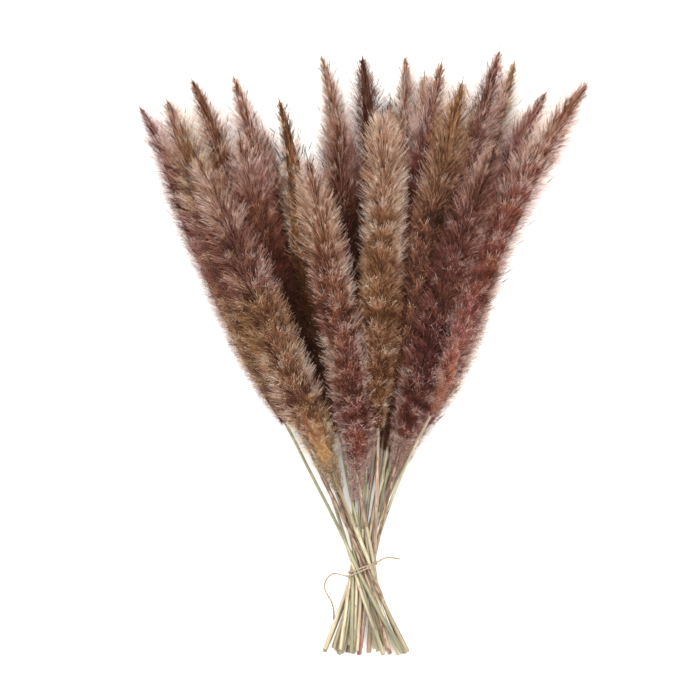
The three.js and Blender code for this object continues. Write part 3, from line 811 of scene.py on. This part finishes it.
def silkMaterial(name, cool, warm):
    # Silky seed hairs of a dried reed plume: fine, matt, and let light through. Each hair is dark at its
    # root and bleached at its tip; its code is also darker the deeper in the fluff it lies and under the
    # plumes above, which is painted shade, and together they give the plume its dark gaps and pale tufts. The
    # map holds the tone across and root to tip, with that painted shade, upwards. Hairs 0.02 mm thick are
    # drawn some ten times as coarse to show.
    material, tree, output = newMaterial(name)
    place = addNode(tree, "ShaderNodeUVMap", uv_map="OFBake").outputs["UV"]
    parts = addNode(tree, "ShaderNodeSeparateXYZ", {"Vector": place})
    dark, pale = woodColours
    wood = [(silkEnd + 0.012, dark), (darkWood + 0.03, dark), (darkWood + 0.04, pale)]
    ramps = [
        addNode(tree, "ShaderNodeValToRGB", {"Fac": parts.outputs["Y"]},
                list(zip((0.0, 0.20, 0.46, 0.72), colours)) + wood)
        for colours in (cool, warm)
    ]
    mixed = addNode(tree, "ShaderNodeMix", {
        "Factor": parts.outputs["X"], 6: ramps[0].outputs["Color"], 7: ramps[1].outputs["Color"],
    }, data_type="RGBA")
    fine = addNode(tree, "ShaderNodeMapping", {"Vector": place, "Scale": (190, 5, 1)})
    streaks = addNode(tree, "ShaderNodeTexNoise", {
        "Vector": fine.outputs["Vector"], "Scale": 1.0, "Detail": 2.0})
    light = addNode(tree, "ShaderNodeMapRange", {
        "Value": streaks.outputs["Fac"], "From Min": 0.3, "From Max": 0.7, "To Min": 0.88, "To Max": 1.10})
    varied = addNode(tree, "ShaderNodeHueSaturation", {
        "Color": mixed.outputs[2], "Value": light.outputs["Result"]})
    body = addNode(tree, "ShaderNodeBsdfPrincipled", {
        "Base Color": varied.outputs["Color"], "Roughness": 0.6, "IOR": 1.45, "Specular IOR Level": 0.1,
        "Sheen Weight": 0.04, "Sheen Roughness": 0.4, "Sheen Tint": linear("#f0d8c8"),
    })
    through = addNode(tree, "ShaderNodeBsdfTranslucent", {"Color": varied.outputs["Color"]})
    both = addNode(tree, "ShaderNodeMixShader", {
        0: 0.42, 1: body.outputs["BSDF"], 2: through.outputs["BSDF"]})
    tree.links.new(both.outputs["Shader"], output.inputs["Surface"])
    return material


silks = {
    "plume_fawn": silkMaterial(
        "fawn reed silk",
        ("#1f0d0a", "#75403a", "#be8878", "#f6e2d9"), ("#26130a", "#83583a", "#c8a06b", "#f5e3c2")),
    "plume_rust": silkMaterial(
        "rust reed silk",
        ("#1d0b09", "#6e3530", "#b3766c", "#f2dad3"), ("#220e06", "#79442d", "#c28b68", "#f6e1cc")),
    "plume_umber": silkMaterial(
        "umber reed silk",
        ("#190908", "#5f2c29", "#a66962", "#ead0ca"), ("#1d0c06", "#6a3b28", "#b47f62", "#f0d9c5")),
    "plume_plum": silkMaterial(
        "plum reed silk",
        ("#1b090c", "#683239", "#b17377", "#f0d7d5"), ("#1f0c08", "#744031", "#bd866e", "#f3dccf")),
    "plume_ochre": silkMaterial(
        "ochre reed silk",
        ("#200f0a", "#7d4b36", "#c69275", "#f6e4d8"), ("#281606", "#8b5937", "#d0a174", "#fae9d0")),
}


def outline(t, look):
    # the foot rises as 1 - (1 - t/fill)^2.6, and the tip falls as 1 - 0.97 q^3.4 over the taper
    foot = 0.15 + 0.85 * (1 - np.clip(1 - t / look["fill"], 0, 1) ** 2.6)
    into = np.clip((t - (1 - look["taper"])) / look["taper"], 0, 1)
    return foot * (1 - 0.97 * into ** 3.4)


def plumeLine(number):
    # the CAD solid's middle line; over its last fifth the tip leans over by hook x (share of the fifth)^2,
    # and its lower half sways sideways by bend x 6.75 t (1 - t)^2
    look = plumeLooks[number]
    cadLine, off, _ = middleLine(f"plume_{number:02d}", 4, 60)
    t = np.linspace(0, 1, len(cadLine))
    cadLine[:, 0] += look["hook"] * mm * np.clip((t - 0.8) / 0.2, 0, 1) ** 2
    cadLine[:, 0] += look["bend"] * mm * 6.75 * t * (1 - t) ** 2
    return makeLine(cadLine), np.max(off) * look["girth"]


plumeAxes = {number: plumeLine(number) for number in plumeLooks}


def paintedShadeFromAbove(number, points):
    # painted shade: how far a point's colour is darkened for the shade of the plumes above it: for each plume
    # whose middle is higher, 1 inside its fluff and falling to 0 at 1.5 times its radius; together 1 - the
    # product of what each leaves
    left = np.ones(len(points))
    for other, (line, radius) in plumeAxes.items():
        y = line["middle"][:, 1]
        x, z = (np.interp(points[:, 1], y, line["middle"][:, k]) for k in (0, 2))
        into = np.clip((points[:, 1] - y[0]) / (y[-1] - y[0]), 0, 1)
        inside = (points[:, 1] > y[0]) & (points[:, 1] < y[-1]) & (other != number)
        size = radius * plumeForm["spread"] * outline(into, plumeLooks[other])
        apart = np.hypot(points[:, 0] - x, points[:, 2] - z) / size
        above = np.clip((z + 0.2 * size - points[:, 2]) / (4 * mm), 0, 1)
        left *= 1 - inside * above * np.clip((1.5 - apart) / 0.5, 0, 1)
    return 1 - left


def paintedShadeAt(plume, points, depth):
    # painted shade on a colour code: 1 in the open, and less by depth x cover where other plumes bury the
    # point
    covered = paintedShadeFromAbove(plume["number"], points.reshape(-1, 3)).reshape(points.shape[:-1])
    return 1 - depth * plume["look"]["cover"] * covered


def nearTip(t):
    # 0 up to 0.58 of the length, and 1 from 0.86 on, where the tufts have closed
    return np.clip((t - 0.58) / 0.28, 0, 1)


def atFoot(plume, t):
    # 1 over the first half of the foot's span, falling to 0 at one and a half times the span
    return np.clip(1.5 - t / plume["look"]["footSpan"], 0, 1)


def coreAt(plume, t):
    # how pale the dense middle is there
    return plume["look"]["core"] + plume["look"]["footCore"] * atFoot(plume, t)


def paleAndPaintedLightAt(plume, t):
    # how pale the fluff is there, read from its look's list: its own paleness with painted light and shade
    light = plume["look"]["light"]
    return np.interp(t, np.linspace(0.1, 0.9, len(light)), light)


def waves(seed, t, angle, cycles=(1, 1.7, 2.6, 4.1, 6.3), bend=1.0):
    # changes along a plume and round it: a sum of waves of random phase, each with so many cycles along the
    # plume and its crests bent round it; a faster wave is lower
    rng = np.random.default_rng(seed)
    total = np.zeros_like(t)
    for cycle in cycles:
        phase, turned = rng.uniform(0, tau, 2)
        total += np.sin(tau * cycle * t + phase + bend * np.cos(angle + turned)) / cycle ** 0.5
    return total / sum(1 / cycle for cycle in cycles) ** 0.5


def patchy(seed, t, angle):
    # patches about 10 mm across
    return waves(seed, t, angle, (13, 17, 22, 29), 2.6)


def toneAt(plume, t, angle):
    # the plume's own tone, drawn to that of its foot and its top, with slow waves and patches
    look, number = plume["look"], plume["number"]
    slow, patched = plumeForm["waves"]
    base = look["tone"] + (look["foot"] - look["tone"]) * atFoot(plume, t)
    base = base + (look["top"] - look["tone"]) * np.clip((t - 0.6) / 0.25, 0, 1)
    return base + slow * waves(900 + number, t, angle) + patched * patchy(500 + number, t, angle)


def growAlong(plume, picks, growth):
    # picks from 0 to 1 turned into shares of the length, so that hairs grow there in proportion to the
    # outline + an even share + more near the tip + more over the last eighth
    even, tip, last = growth
    grid = np.linspace(plumeForm["from"] - plume["skirt"], plumeForm["to"], 400)
    weight = np.cumsum(outline(grid, plume["look"]) + even + tip * nearTip(grid)
                       + last * np.clip(8 * grid - 7, 0, 1))
    return np.interp(picks * weight[-1], weight, grid)


def hairCodes(tones, codes):
    # places on the map: tones are those of a hair's first and last point, and codes its places upwards. Its
    # ring's corners lie a little apart, so that no face is a line there.
    first, last = (np.clip(tone, 0.02, 0.98) for tone in tones)
    ring = [first + step for step in (0, -0.006, 0.006)]
    if len(codes) == 2:
        across = [*ring, last]
        upwards = [codes[0], codes[0] + 0.008, codes[0], codes[1]]
    else:
        across = [first, *ring, last]
        upwards = [codes[0], codes[1], codes[1], codes[1] + 0.01, codes[2]]
    return np.stack([np.stack(across, 1), np.stack(upwards, 1)], -1).reshape(-1, 2)


def addHairs(plume, places, width, tones, codes):
    # closed hairs through the places, with the same number of values for each
    points, faces = hairs(places, width, plume["rng"])
    tones, codes = ([np.broadcast_to(value, len(places[0])) for value in values] for values in (tones, codes))
    plume["parts"].append((points, faces, hairCodes(tones, codes)))


def addBothWays(plume, upright, ends, width, tones, codes):
    # the upright hairs are widest at the root, and the others at the tip
    for some, order in ((upright, (0, 1)), (~upright, (1, 0))):
        addHairs(plume, [ends[k][some] for k in order], width[some],
                 [tones[k][some] for k in order], [codes[k][some] for k in order])


def addTube(plume, points, tones, upwards):
    # a tube from a grid of points, ring after ring, and their places on the map
    codes = np.stack([tones, upwards], -1).reshape(-1, 2)
    plume["parts"].append((points.reshape(-1, 3), asTriangles(tubeFaces(*tones.shape)), codes))


tuftForm = {
    "count": 500,
    "growth": (0.10, 0.45, 0.5),   # even, near the tip and over the last eighth, as growAlong has it
    "within": (0.1, 0.9),       # where in its own share of the skin a tuft ends
    "turn": 2.39996,            # from one tuft to the next: the golden angle
    "turnStray": 0.25,
    "heart": 0.48,              # where its branch begins, as a share of the fluff's radius
    "reach": (0.70, 0.93),      # how far out the branch ends
    "branch": 0.12 * mm,
    "lean": ((0, 0.15, 0.6, 0.85, 1), (64, 56, 48, 36, 20)),   # degrees, at shares of the length
    "leanStray": 5,
    "stars": 0.22,              # share of the tufts that are open, pale stars
    "starTone": 0.16,           # how much warmer they are
    "toneStray": 0.10,
    "starLight": (1.1, 1.45),
    "light": (0.55, 1.12),
    "waves": (0.42, 0.48),      # how much the light changes slowly, and in patches
}


def growTufts(plume):
    # each tuft's branch rises from the dense middle and ends on the skin, and all are evenly spread over it
    line, rng, form, seed = plume["line"], plume["rng"], tuftForm, plume["number"]
    count = round(form["count"] * plume["look"]["dense"])
    picks = (np.arange(count) + rng.uniform(*form["within"], count)) / count
    t = growAlong(plume, picks, form["growth"])
    angle = np.arange(count) * form["turn"] + rng.normal(0, form["turnStray"], count)
    skin = plume["fat"] * outline(t, plume["look"])
    closed = nearTip(t)                # towards the tip the tufts close into barbs
    start = form["heart"] * skin * (1 - 0.75 * closed)
    reach = skin * rng.uniform(*form["reach"], count) * (1 + 0.1 * closed) + 0.3 * mm * closed
    lean = np.radians(np.interp(t, *form["lean"]) + rng.normal(0, form["leanStray"], count))
    back = np.minimum((reach - start) / np.tan(lean), (t + plume["skirt"]) * line["length"])
    patch = patchy(600 + seed, t, angle)
    star = rng.random(count) < form["stars"] * (1 + 1.5 * patch)
    tone = toneAt(plume, t, angle) + rng.normal(0, form["toneStray"], count) + form["starTone"] * star
    light = np.where(star, rng.uniform(*form["starLight"], count), rng.uniform(*form["light"], count))
    slow, patched = form["waves"]
    # the look's list paints light and shade along the plume on top of its own paleness
    light *= np.clip(1 + slow * waves(700 + seed, t, angle) + patched * patch, 0.12, 2) * paleAndPaintedLightAt(plume, t)
    rootT = t - back / line["length"]
    ends = (placeOn(line, rootT, angle, start), placeOn(line, rootT, angle, reach, back))
    addHairs(plume, ends, form["branch"], (tone, tone), (paleWood, paleWood))
    return dict(t=t, rootT=rootT, angle=angle, skin=skin, closed=closed, start=start, reach=reach,
                lean=lean, back=back, star=star, tone=tone, light=light)


hairForm = {
    "count": 16,                # in a tuft
    "from": (0.10, 0.75),       # where a hair leaves the branch, as a share of it, and where in a star
    "starFrom": (0.42, 0.58),
    "length": (3.6 * mm, 6.8 * mm),
    "width": (0.08 * mm, 0.145 * mm),   # half of it, at the root
    "fan": 0.42,                # how far the hairs spread from the branch, as a slope
    "stray": 0.45 * mm,
    "starPale": 0.12,           # how much paler a star's hairs are
    "toneStray": 0.07,
    "coolTip": 0.16,            # how much cooler than its plume a hair's tip is
}


def growHairs(plume, tufts):
    # a tuft's hairs leave its branch in its direction + a random slope, and end on the skin at the latest;
    # along, out and around are measured from where the branch begins. Every other one is widest at its tip.
    line, rng, form = plume["line"], plume["rng"], hairForm
    tuft = {key: values[:, None] for key, values in tufts.items()}
    star, closed, skin, start = (tuft[key] for key in ("star", "closed", "skin", "start"))
    shape = (len(star), form["count"])
    share = np.where(star, rng.uniform(*form["starFrom"], shape), rng.uniform(*form["from"], shape))
    small = 0.42 + 0.58 * skin / plume["fat"]
    long = rng.uniform(*form["length"], shape) * small * (1.15 - 0.35 * share) * (1 + 0.35 * star)
    aim = form["fan"] * rng.normal(size=(3, *shape)) * (np.where(star, 1.7, 1.0) * (1 - 0.6 * closed))
    aim = aim + np.stack([np.cos(tuft["lean"]), np.sin(tuft["lean"]), 0 * closed])
    stray = form["stray"] * rng.normal(size=(3, *shape)) * small
    first = stray + np.stack([tuft["back"] * share, start + (tuft["reach"] - start) * share, 0 * share])
    last = first + long * aim / np.linalg.norm(aim, axis=0)
    last[1] = np.minimum(last[1], (0.98 + 0.2 * closed) * skin + (0.4 + 0.9 * closed) * mm)
    ends = [placeOn(line, tuft["rootT"], tuft["angle"], out, along, around)
            for along, out, around in (first, last)]
    middleT = tuft["rootT"] + (first[0] + last[0]) / 2 / line["length"]
    local = plume["fat"] * outline(np.clip(middleT, 0, 1), plume["look"]) + 0.8 * mm
    light = tuft["light"] * rng.uniform(0.9, 1.1, shape)
    upright = (np.arange(shape[1]) % 2 == 0) | (rng.random(shape) < closed)
    soft = form["starPale"] * star + 0.9 * plume["look"]["footCore"] * atFoot(plume, tuft["t"])
    codes = []
    for out, tip, place in ((first[1], 0, ends[0]), (last[1], 1, ends[1])):
        depth = np.clip(out / local, 0, 1.15)
        # painted shade: the deeper in the fluff a hair's point lies, the darker its colour, on top of its
        # real dark root and pale tip; the shade of the plumes above is painted on as well
        code = 0.05 + 0.38 * depth ** 2 + 0.28 * tip * depth + soft
        codes.append(np.clip(code * light * paintedShadeAt(plume, place, 0.93), 0.01, 0.99).ravel() * silkEnd)
    width = rng.uniform(*form["width"], shape).ravel()
    tone = (tuft["tone"] + rng.normal(0, form["toneStray"], shape)).ravel()
    tones = (tone + plumeForm["warmRoot"], tone - form["coolTip"])
    addBothWays(plume, upright.ravel(), [place.reshape(-1, 3) for place in ends], width, tones, codes)


bristleForm = {
    "count": 1500,
    "from": 0.50,               # where it begins, as a share of the fluff's radius
    "length": (2.8 * mm, 5.6 * mm),
    "width": 0.16 * mm,
    "light": (0.7, 1.3),
}


def growBristles(plume):
    # short, dark and warm, close to the dense middle
    line, rng, look, form = plume["line"], plume["rng"], plume["look"], bristleForm
    count = form["count"]
    t = growAlong(plume, rng.uniform(0, 1, count), tuftForm["growth"])
    angle = rng.uniform(0, tau, count)
    start = plume["fat"] * outline(t, look) * (form["from"] - 0.42 * nearTip(t) * rng.random(count))
    long = rng.uniform(*form["length"], count) * (0.3 + 0.7 * outline(t, look))
    root = placeOn(line, t, angle, start)
    tip = placeOn(line, t, angle, start + 0.66 * long, 0.72 * long, 0.3 * long * rng.normal(size=count))
    # painted shade of the plumes above, and the look's painted light and shade, darken or pale the bristles
    shade = paintedShadeAt(plume, root, 0.9) * rng.uniform(*form["light"], count) * np.minimum(paleAndPaintedLightAt(plume, t), 1.3)
    points, faces = hairs((root, tip), form["width"], rng)
    pale = coreAt(plume, t) + 0.14 * nearTip(t) * rng.random(count)
    codes = [(value + pale) * silkEnd * shade for value in (0.05, 0.35)]
    tone = toneAt(plume, t, angle) + plumeForm["warmRoot"]
    plume["parts"].append((points, faces, hairCodes((tone, tone), codes)))


wispForm = {
    "count": 5600,
    "growth": (0.35, 0, 0.4),
    "from": (0.45, 0.75),       # where it begins and ends, as shares of the fluff's radius
    "reach": (0.92, 1.22),
    "beyond": 1.6 * mm,         # how much further out it may end
    "lean": ((0, 0.75, 1), (60, 54, 30)),   # degrees from the plume's middle line
    "leanStray": 10,
    "stray": 0.22,              # how far it strays to the side, as a share of its length
    "width": 0.08 * mm,
    "light": (0.82, 1.02),
    "cool": 0.06,               # how much cooler than its plume it is
    "toneStray": 0.1,
}


def growWisps(plume):
    # the fine halo: single hairs that lean out of the fluff, half of them widest at the tip
    line, rng, look, form, seed = plume["line"], plume["rng"], plume["look"], wispForm, plume["number"]
    count = round(form["count"] * look["dense"] * look["halo"])
    t = growAlong(plume, rng.uniform(0, 1, count), form["growth"])
    angle = rng.uniform(0, tau, count)
    edge = plume["fat"] * outline(t, look)
    start = edge * rng.uniform(*form["from"], count) * (1 - 0.7 * nearTip(t))
    lean = np.radians(np.interp(t, *form["lean"]) + rng.normal(0, form["leanStray"], count))
    patch = patchy(600 + seed, t, angle)
    far = edge * (rng.uniform(*form["reach"], count) + 0.06 * patch) + rng.uniform(0, form["beyond"], count)
    long = (far - start) / np.sin(np.maximum(lean, 0.35))
    rootT = t - long / 2 / line["length"]
    root = placeOn(line, rootT, angle, start)
    tip = placeOn(line, rootT, angle, start + long * np.sin(lean), long * np.cos(lean),
                  long * rng.normal(0, form["stray"], count))
    # the look's painted light and shade, and below it the painted shade of the plumes above, darken or pale
    # the wisps
    light = rng.uniform(*form["light"], count) * np.minimum(0.08 + 0.95 * paleAndPaintedLightAt(plume, t), 1.05)
    light *= np.clip(1 + 0.3 * patch + 0.3 * waves(700 + seed, t, angle), 0.35, 1.15)
    codes = [np.clip(value * light * paintedShadeAt(plume, place, 0.85), 0.02, 0.99) * silkEnd
             for value, place in ((0.50, root), (0.74, tip))]
    tone = toneAt(plume, t, angle) + rng.normal(0, form["toneStray"], count) - form["cool"]
    addBothWays(plume, np.arange(count) % 2 == 0, (root, tip), np.full(count, form["width"]),
                (tone, tone), codes)


skirtForm = {
    "count": 1300,
    "from": (0.05, 0.48),       # shares of the fluff's radius
    "length": (5 * mm, 9 * mm),
    "width": 0.13 * mm,
    "light": (0.55, 1.25),
}


def growSkirt(plume):
    # thin fluff that runs down the stem below the plume's foot, thinner and shorter lower down
    line, rng, form = plume["line"], plume["rng"], skirtForm
    count = form["count"]
    down = rng.uniform(0, 1, count) ** 1.7
    angle = rng.uniform(0, tau, count)
    start = plume["fat"] * (0.08 + rng.uniform(*form["from"], count) * (1 - 0.8 * down))
    long = rng.uniform(*form["length"], count) * (1.1 - 0.4 * down)
    t = 0.05 - (plume["skirt"] + 0.05) * down
    root = placeOn(line, t, angle, start)
    tip = placeOn(line, t, angle, start + 0.46 * long, 0.85 * long, 0.35 * long * rng.normal(size=count))
    # painted light and shade from the look's list at the foot
    light = rng.uniform(*form["light"], count) * paleAndPaintedLightAt(plume, 0)
    tone = toneAt(plume, t, angle)
    codes = [value * silkEnd * light for value in (0.3, 0.72)]
    addHairs(plume, (root, tip), form["width"], (tone, tone), codes)


sprigForm = {
    "count": 12,
    "to": 0.95,                 # the highest sprig's share of the length
    "from": (0.80, 1.10),       # shares of the fluff's radius
    "length": (8 * mm, 13 * mm),
    "lean": (22, 38),           # degrees from the plume's middle line
    "width": 0.24 * mm,
    "bristles": 7,              # on each, from 0.4 of its length to 0.95
    "bristleLength": 2.4 * mm,
    "bristleWidth": 0.15 * mm,
}


def growSprigs(plume):
    # bare dark branchlets, with bristles that stand off to either side in turn
    line, rng, look, form = plume["line"], plume["rng"], plume["look"], sprigForm
    count, bristles = round(form["count"] * look["sprigs"]), form["bristles"]
    t = rng.uniform(look["sprigFrom"], form["to"], count)
    angle = rng.uniform(0, tau, count)
    edge = plume["fat"] * outline(np.clip(t + 0.03, 0, 1), look)
    long = rng.uniform(*form["length"], count) * (0.5 + 0.5 * edge / plume["fat"])
    lean = np.radians(rng.uniform(*form["lean"], count))
    start = edge * rng.uniform(*form["from"], count)
    along, out = long * np.cos(lean), long * np.sin(lean)
    places = [placeOn(line, t, angle, start + share * out, share * along) for share in (0, 0.55, 1)]
    addHairs(plume, places, form["width"], (0.5, 0.5), [darkWood] * 3)

    share = np.tile(np.linspace(0.4, 0.95, bristles), count)
    flip = np.tile(np.where(np.arange(bristles) % 2, 1.0, -1.0), count)
    t, angle, start, along, out = (np.repeat(values, bristles) for values in (t, angle, start, along, out))
    size = form["bristleLength"]
    root = placeOn(line, t, angle, start + share * out, share * along)
    tip = placeOn(line, t, angle, start + share * out + 0.35 * size, share * along + 0.85 * size,
                  0.45 * size * flip)
    addHairs(plume, (root, (root + tip) / 2, tip), form["bristleWidth"], (0.5, 0.5), [darkWood] * 3)


heartForm = {
    "rings": 90,
    "sides": 24,
    "radius": 0.60,             # share of the fluff's
    "lumps": (0.84, 0.30),      # how far it draws in between the tufts and swells under them
    "lumpWidth": 3.4 * mm,
    "lumpAt": 0.3,              # where under its branch a tuft's lump is, as a share of the branch
}


def growHeart(plume, tufts):
    # the dense middle: its radius is a share of the fluff's, x (low + high x the nearest tuft's bump), where
    # a bump is exp(-(distance / width)^2); its colour is darkest between the tufts, painted shade in the
    # hollows there
    form, length = heartForm, plume["line"]["length"]
    t = np.linspace(0.015, 0.985, form["rings"])[:, None]
    t, angle = np.broadcast_arrays(t, tau * np.arange(form["sides"])[None, :] / form["sides"])
    girth = plume["fat"] * outline(t, plume["look"])
    ahead = (t[..., None] - tufts["rootT"]) * length - form["lumpAt"] * tufts["back"]
    turned = np.abs((angle[..., None] - tufts["angle"] + math.pi) % tau - math.pi)
    apart = (ahead ** 2 + (turned * girth[..., None] * 0.8) ** 2) / form["lumpWidth"] ** 2
    bump = np.exp(-apart.min(-1))
    low, high = form["lumps"]
    size = form["radius"] * girth * (low + high * bump) * (1 - 0.55 * nearTip(t))
    size[[0, -1]] *= 0.02       # nearly a point at both ends
    points = placeOn(plume["line"], t, angle, size)
    tones = np.clip(toneAt(plume, t, angle) + plumeForm["warmRoot"], 0.05, 0.95) + 0.01 * np.sin(7 * angle)
    light = np.minimum(tufts["light"][apart.argmin(-1)], 1.6)
    # painted shade: darker where the bump is low, between the tufts, and under the plumes above
    upwards = 0.01 + coreAt(plume, t) * (0.3 + 0.7 * bump) + 0.13 * bump * light
    upwards = np.clip(upwards * paintedShadeAt(plume, points, 0.9), 0.01, 0.6) * silkEnd
    addTube(plume, points, tones, upwards)


rachisForm = {
    "rings": 40,
    "sides": 6,
    "radius": (1.05 * mm, 0.3 * mm),   # at the foot and at the tip
    "spike": 6.0 * mm,          # how far it stands out of the fluff
}


def growRachis(plume):
    # the stalk inside the plume, which ends in a bare spike; its radius falls evenly from foot to tip
    form = rachisForm
    t = np.linspace(0, 1 + form["spike"] / plume["line"]["length"], form["rings"])[:, None]
    t, angle = np.broadcast_arrays(t, tau * np.arange(form["sides"])[None, :] / form["sides"])
    foot, end = form["radius"]
    size = foot + (end - foot) * t
    size[[0, -1]] *= 0.02
    tones = 0.5 + 0.3 * np.sin(angle) * np.cos(40 * t)
    upwards = darkWood + 0.012 * np.sin(3 * angle + 9 * t)
    addTube(plume, placeOn(plume["line"], t, angle, size), tones, upwards)


def buildPlume(number):
    # a plume's parts are grown in turn and joined, and what would sink into the floor is pressed flat on it
    name, look = f"plume_{number:02d}", plumeLooks[number]
    line, radius = plumeAxes[number]
    plume = {
        "number": number, "look": look, "line": line, "parts": [],
        "fat": radius * plumeForm["spread"],           # the fluff's radius
        "skirt": look["skirt"] * mm / line["length"],
        "rng": np.random.default_rng(400 + number),
    }
    tufts = growTufts(plume)
    growHairs(plume, tufts)
    growBristles(plume)
    growWisps(plume)
    if look["skirt"]:
        growSkirt(plume)
    growSprigs(plume)
    growHeart(plume, tufts)
    growRachis(plume)
    points, faces, codes = joined(plume["parts"])
    floor, height = plumeForm["floorGap"], points[:, 2]
    points[:, 2] = np.where(height < floor, floor + 0.02 * (floor - height), height)
    piece = makePiece(f"{name}_silk", points, faces, silks[slotOf[name]], codes=codes)
    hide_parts(name)
    return len(faces)


total = sum(buildPlume(number) for number in plumeLooks)
print("plumes:", len(plumeLooks), "with", total, "triangles")


# the studio

studio = {
    "floor": "#f3f1ed",
    "floorSide": 24.0,
    "world": ("#ffffff", 0.8),
    "aim": (0, 0, 0.03),
    "lights": [  # place, size, power
        ((-0.4, 0.6, 2.1), 1.5, 71),
        ((0.6, -0.2, 2.1), 1.6, 48),
    ],
}


def buildStudio():
    # a white room's light, a pale floor, and two soft boxes turned to the bundle
    world = bpy.data.worlds.new("studio")
    bpy.context.scene.world = world
    world.use_nodes = True
    back = world.node_tree.nodes["Background"]
    back.inputs["Color"].default_value = linear(studio["world"][0])
    back.inputs["Strength"].default_value = studio["world"][1]
    material, tree, output = newMaterial("matt paper floor")
    paper = addNode(tree, "ShaderNodeBsdfPrincipled", {
        "Base Color": linear(studio["floor"]), "Roughness": 0.9, "Specular IOR Level": 0.1,
    })
    tree.links.new(paper.outputs["BSDF"], output.inputs["Surface"])
    half = studio["floorSide"] / 2
    corners = np.array([[-half, -half, 0], [half, -half, 0], [half, half, 0], [-half, half, 0]])
    floor = makePiece("floor", corners, np.array([[0, 1, 2, 3]]), material, body=None)
    for index, (place, size, power) in enumerate(studio["lights"]):
        data = bpy.data.lights.new(f"softbox_{index}", "AREA")
        data.shape = "SQUARE"
        data.size = size
        data.energy = power
        lamp = bpy.data.objects.new(f"softbox_{index}", data)
        lamp.location = place
        aim = Vector(studio["aim"]) - Vector(place)
        lamp.rotation_mode = "QUATERNION"
        lamp.rotation_quaternion = aim.to_track_quat("-Z", "Y")
        bpy.context.scene.collection.objects.link(lamp)
    bpy.context.scene.view_settings.view_transform = "Standard"


buildStudio()
print("studio built")
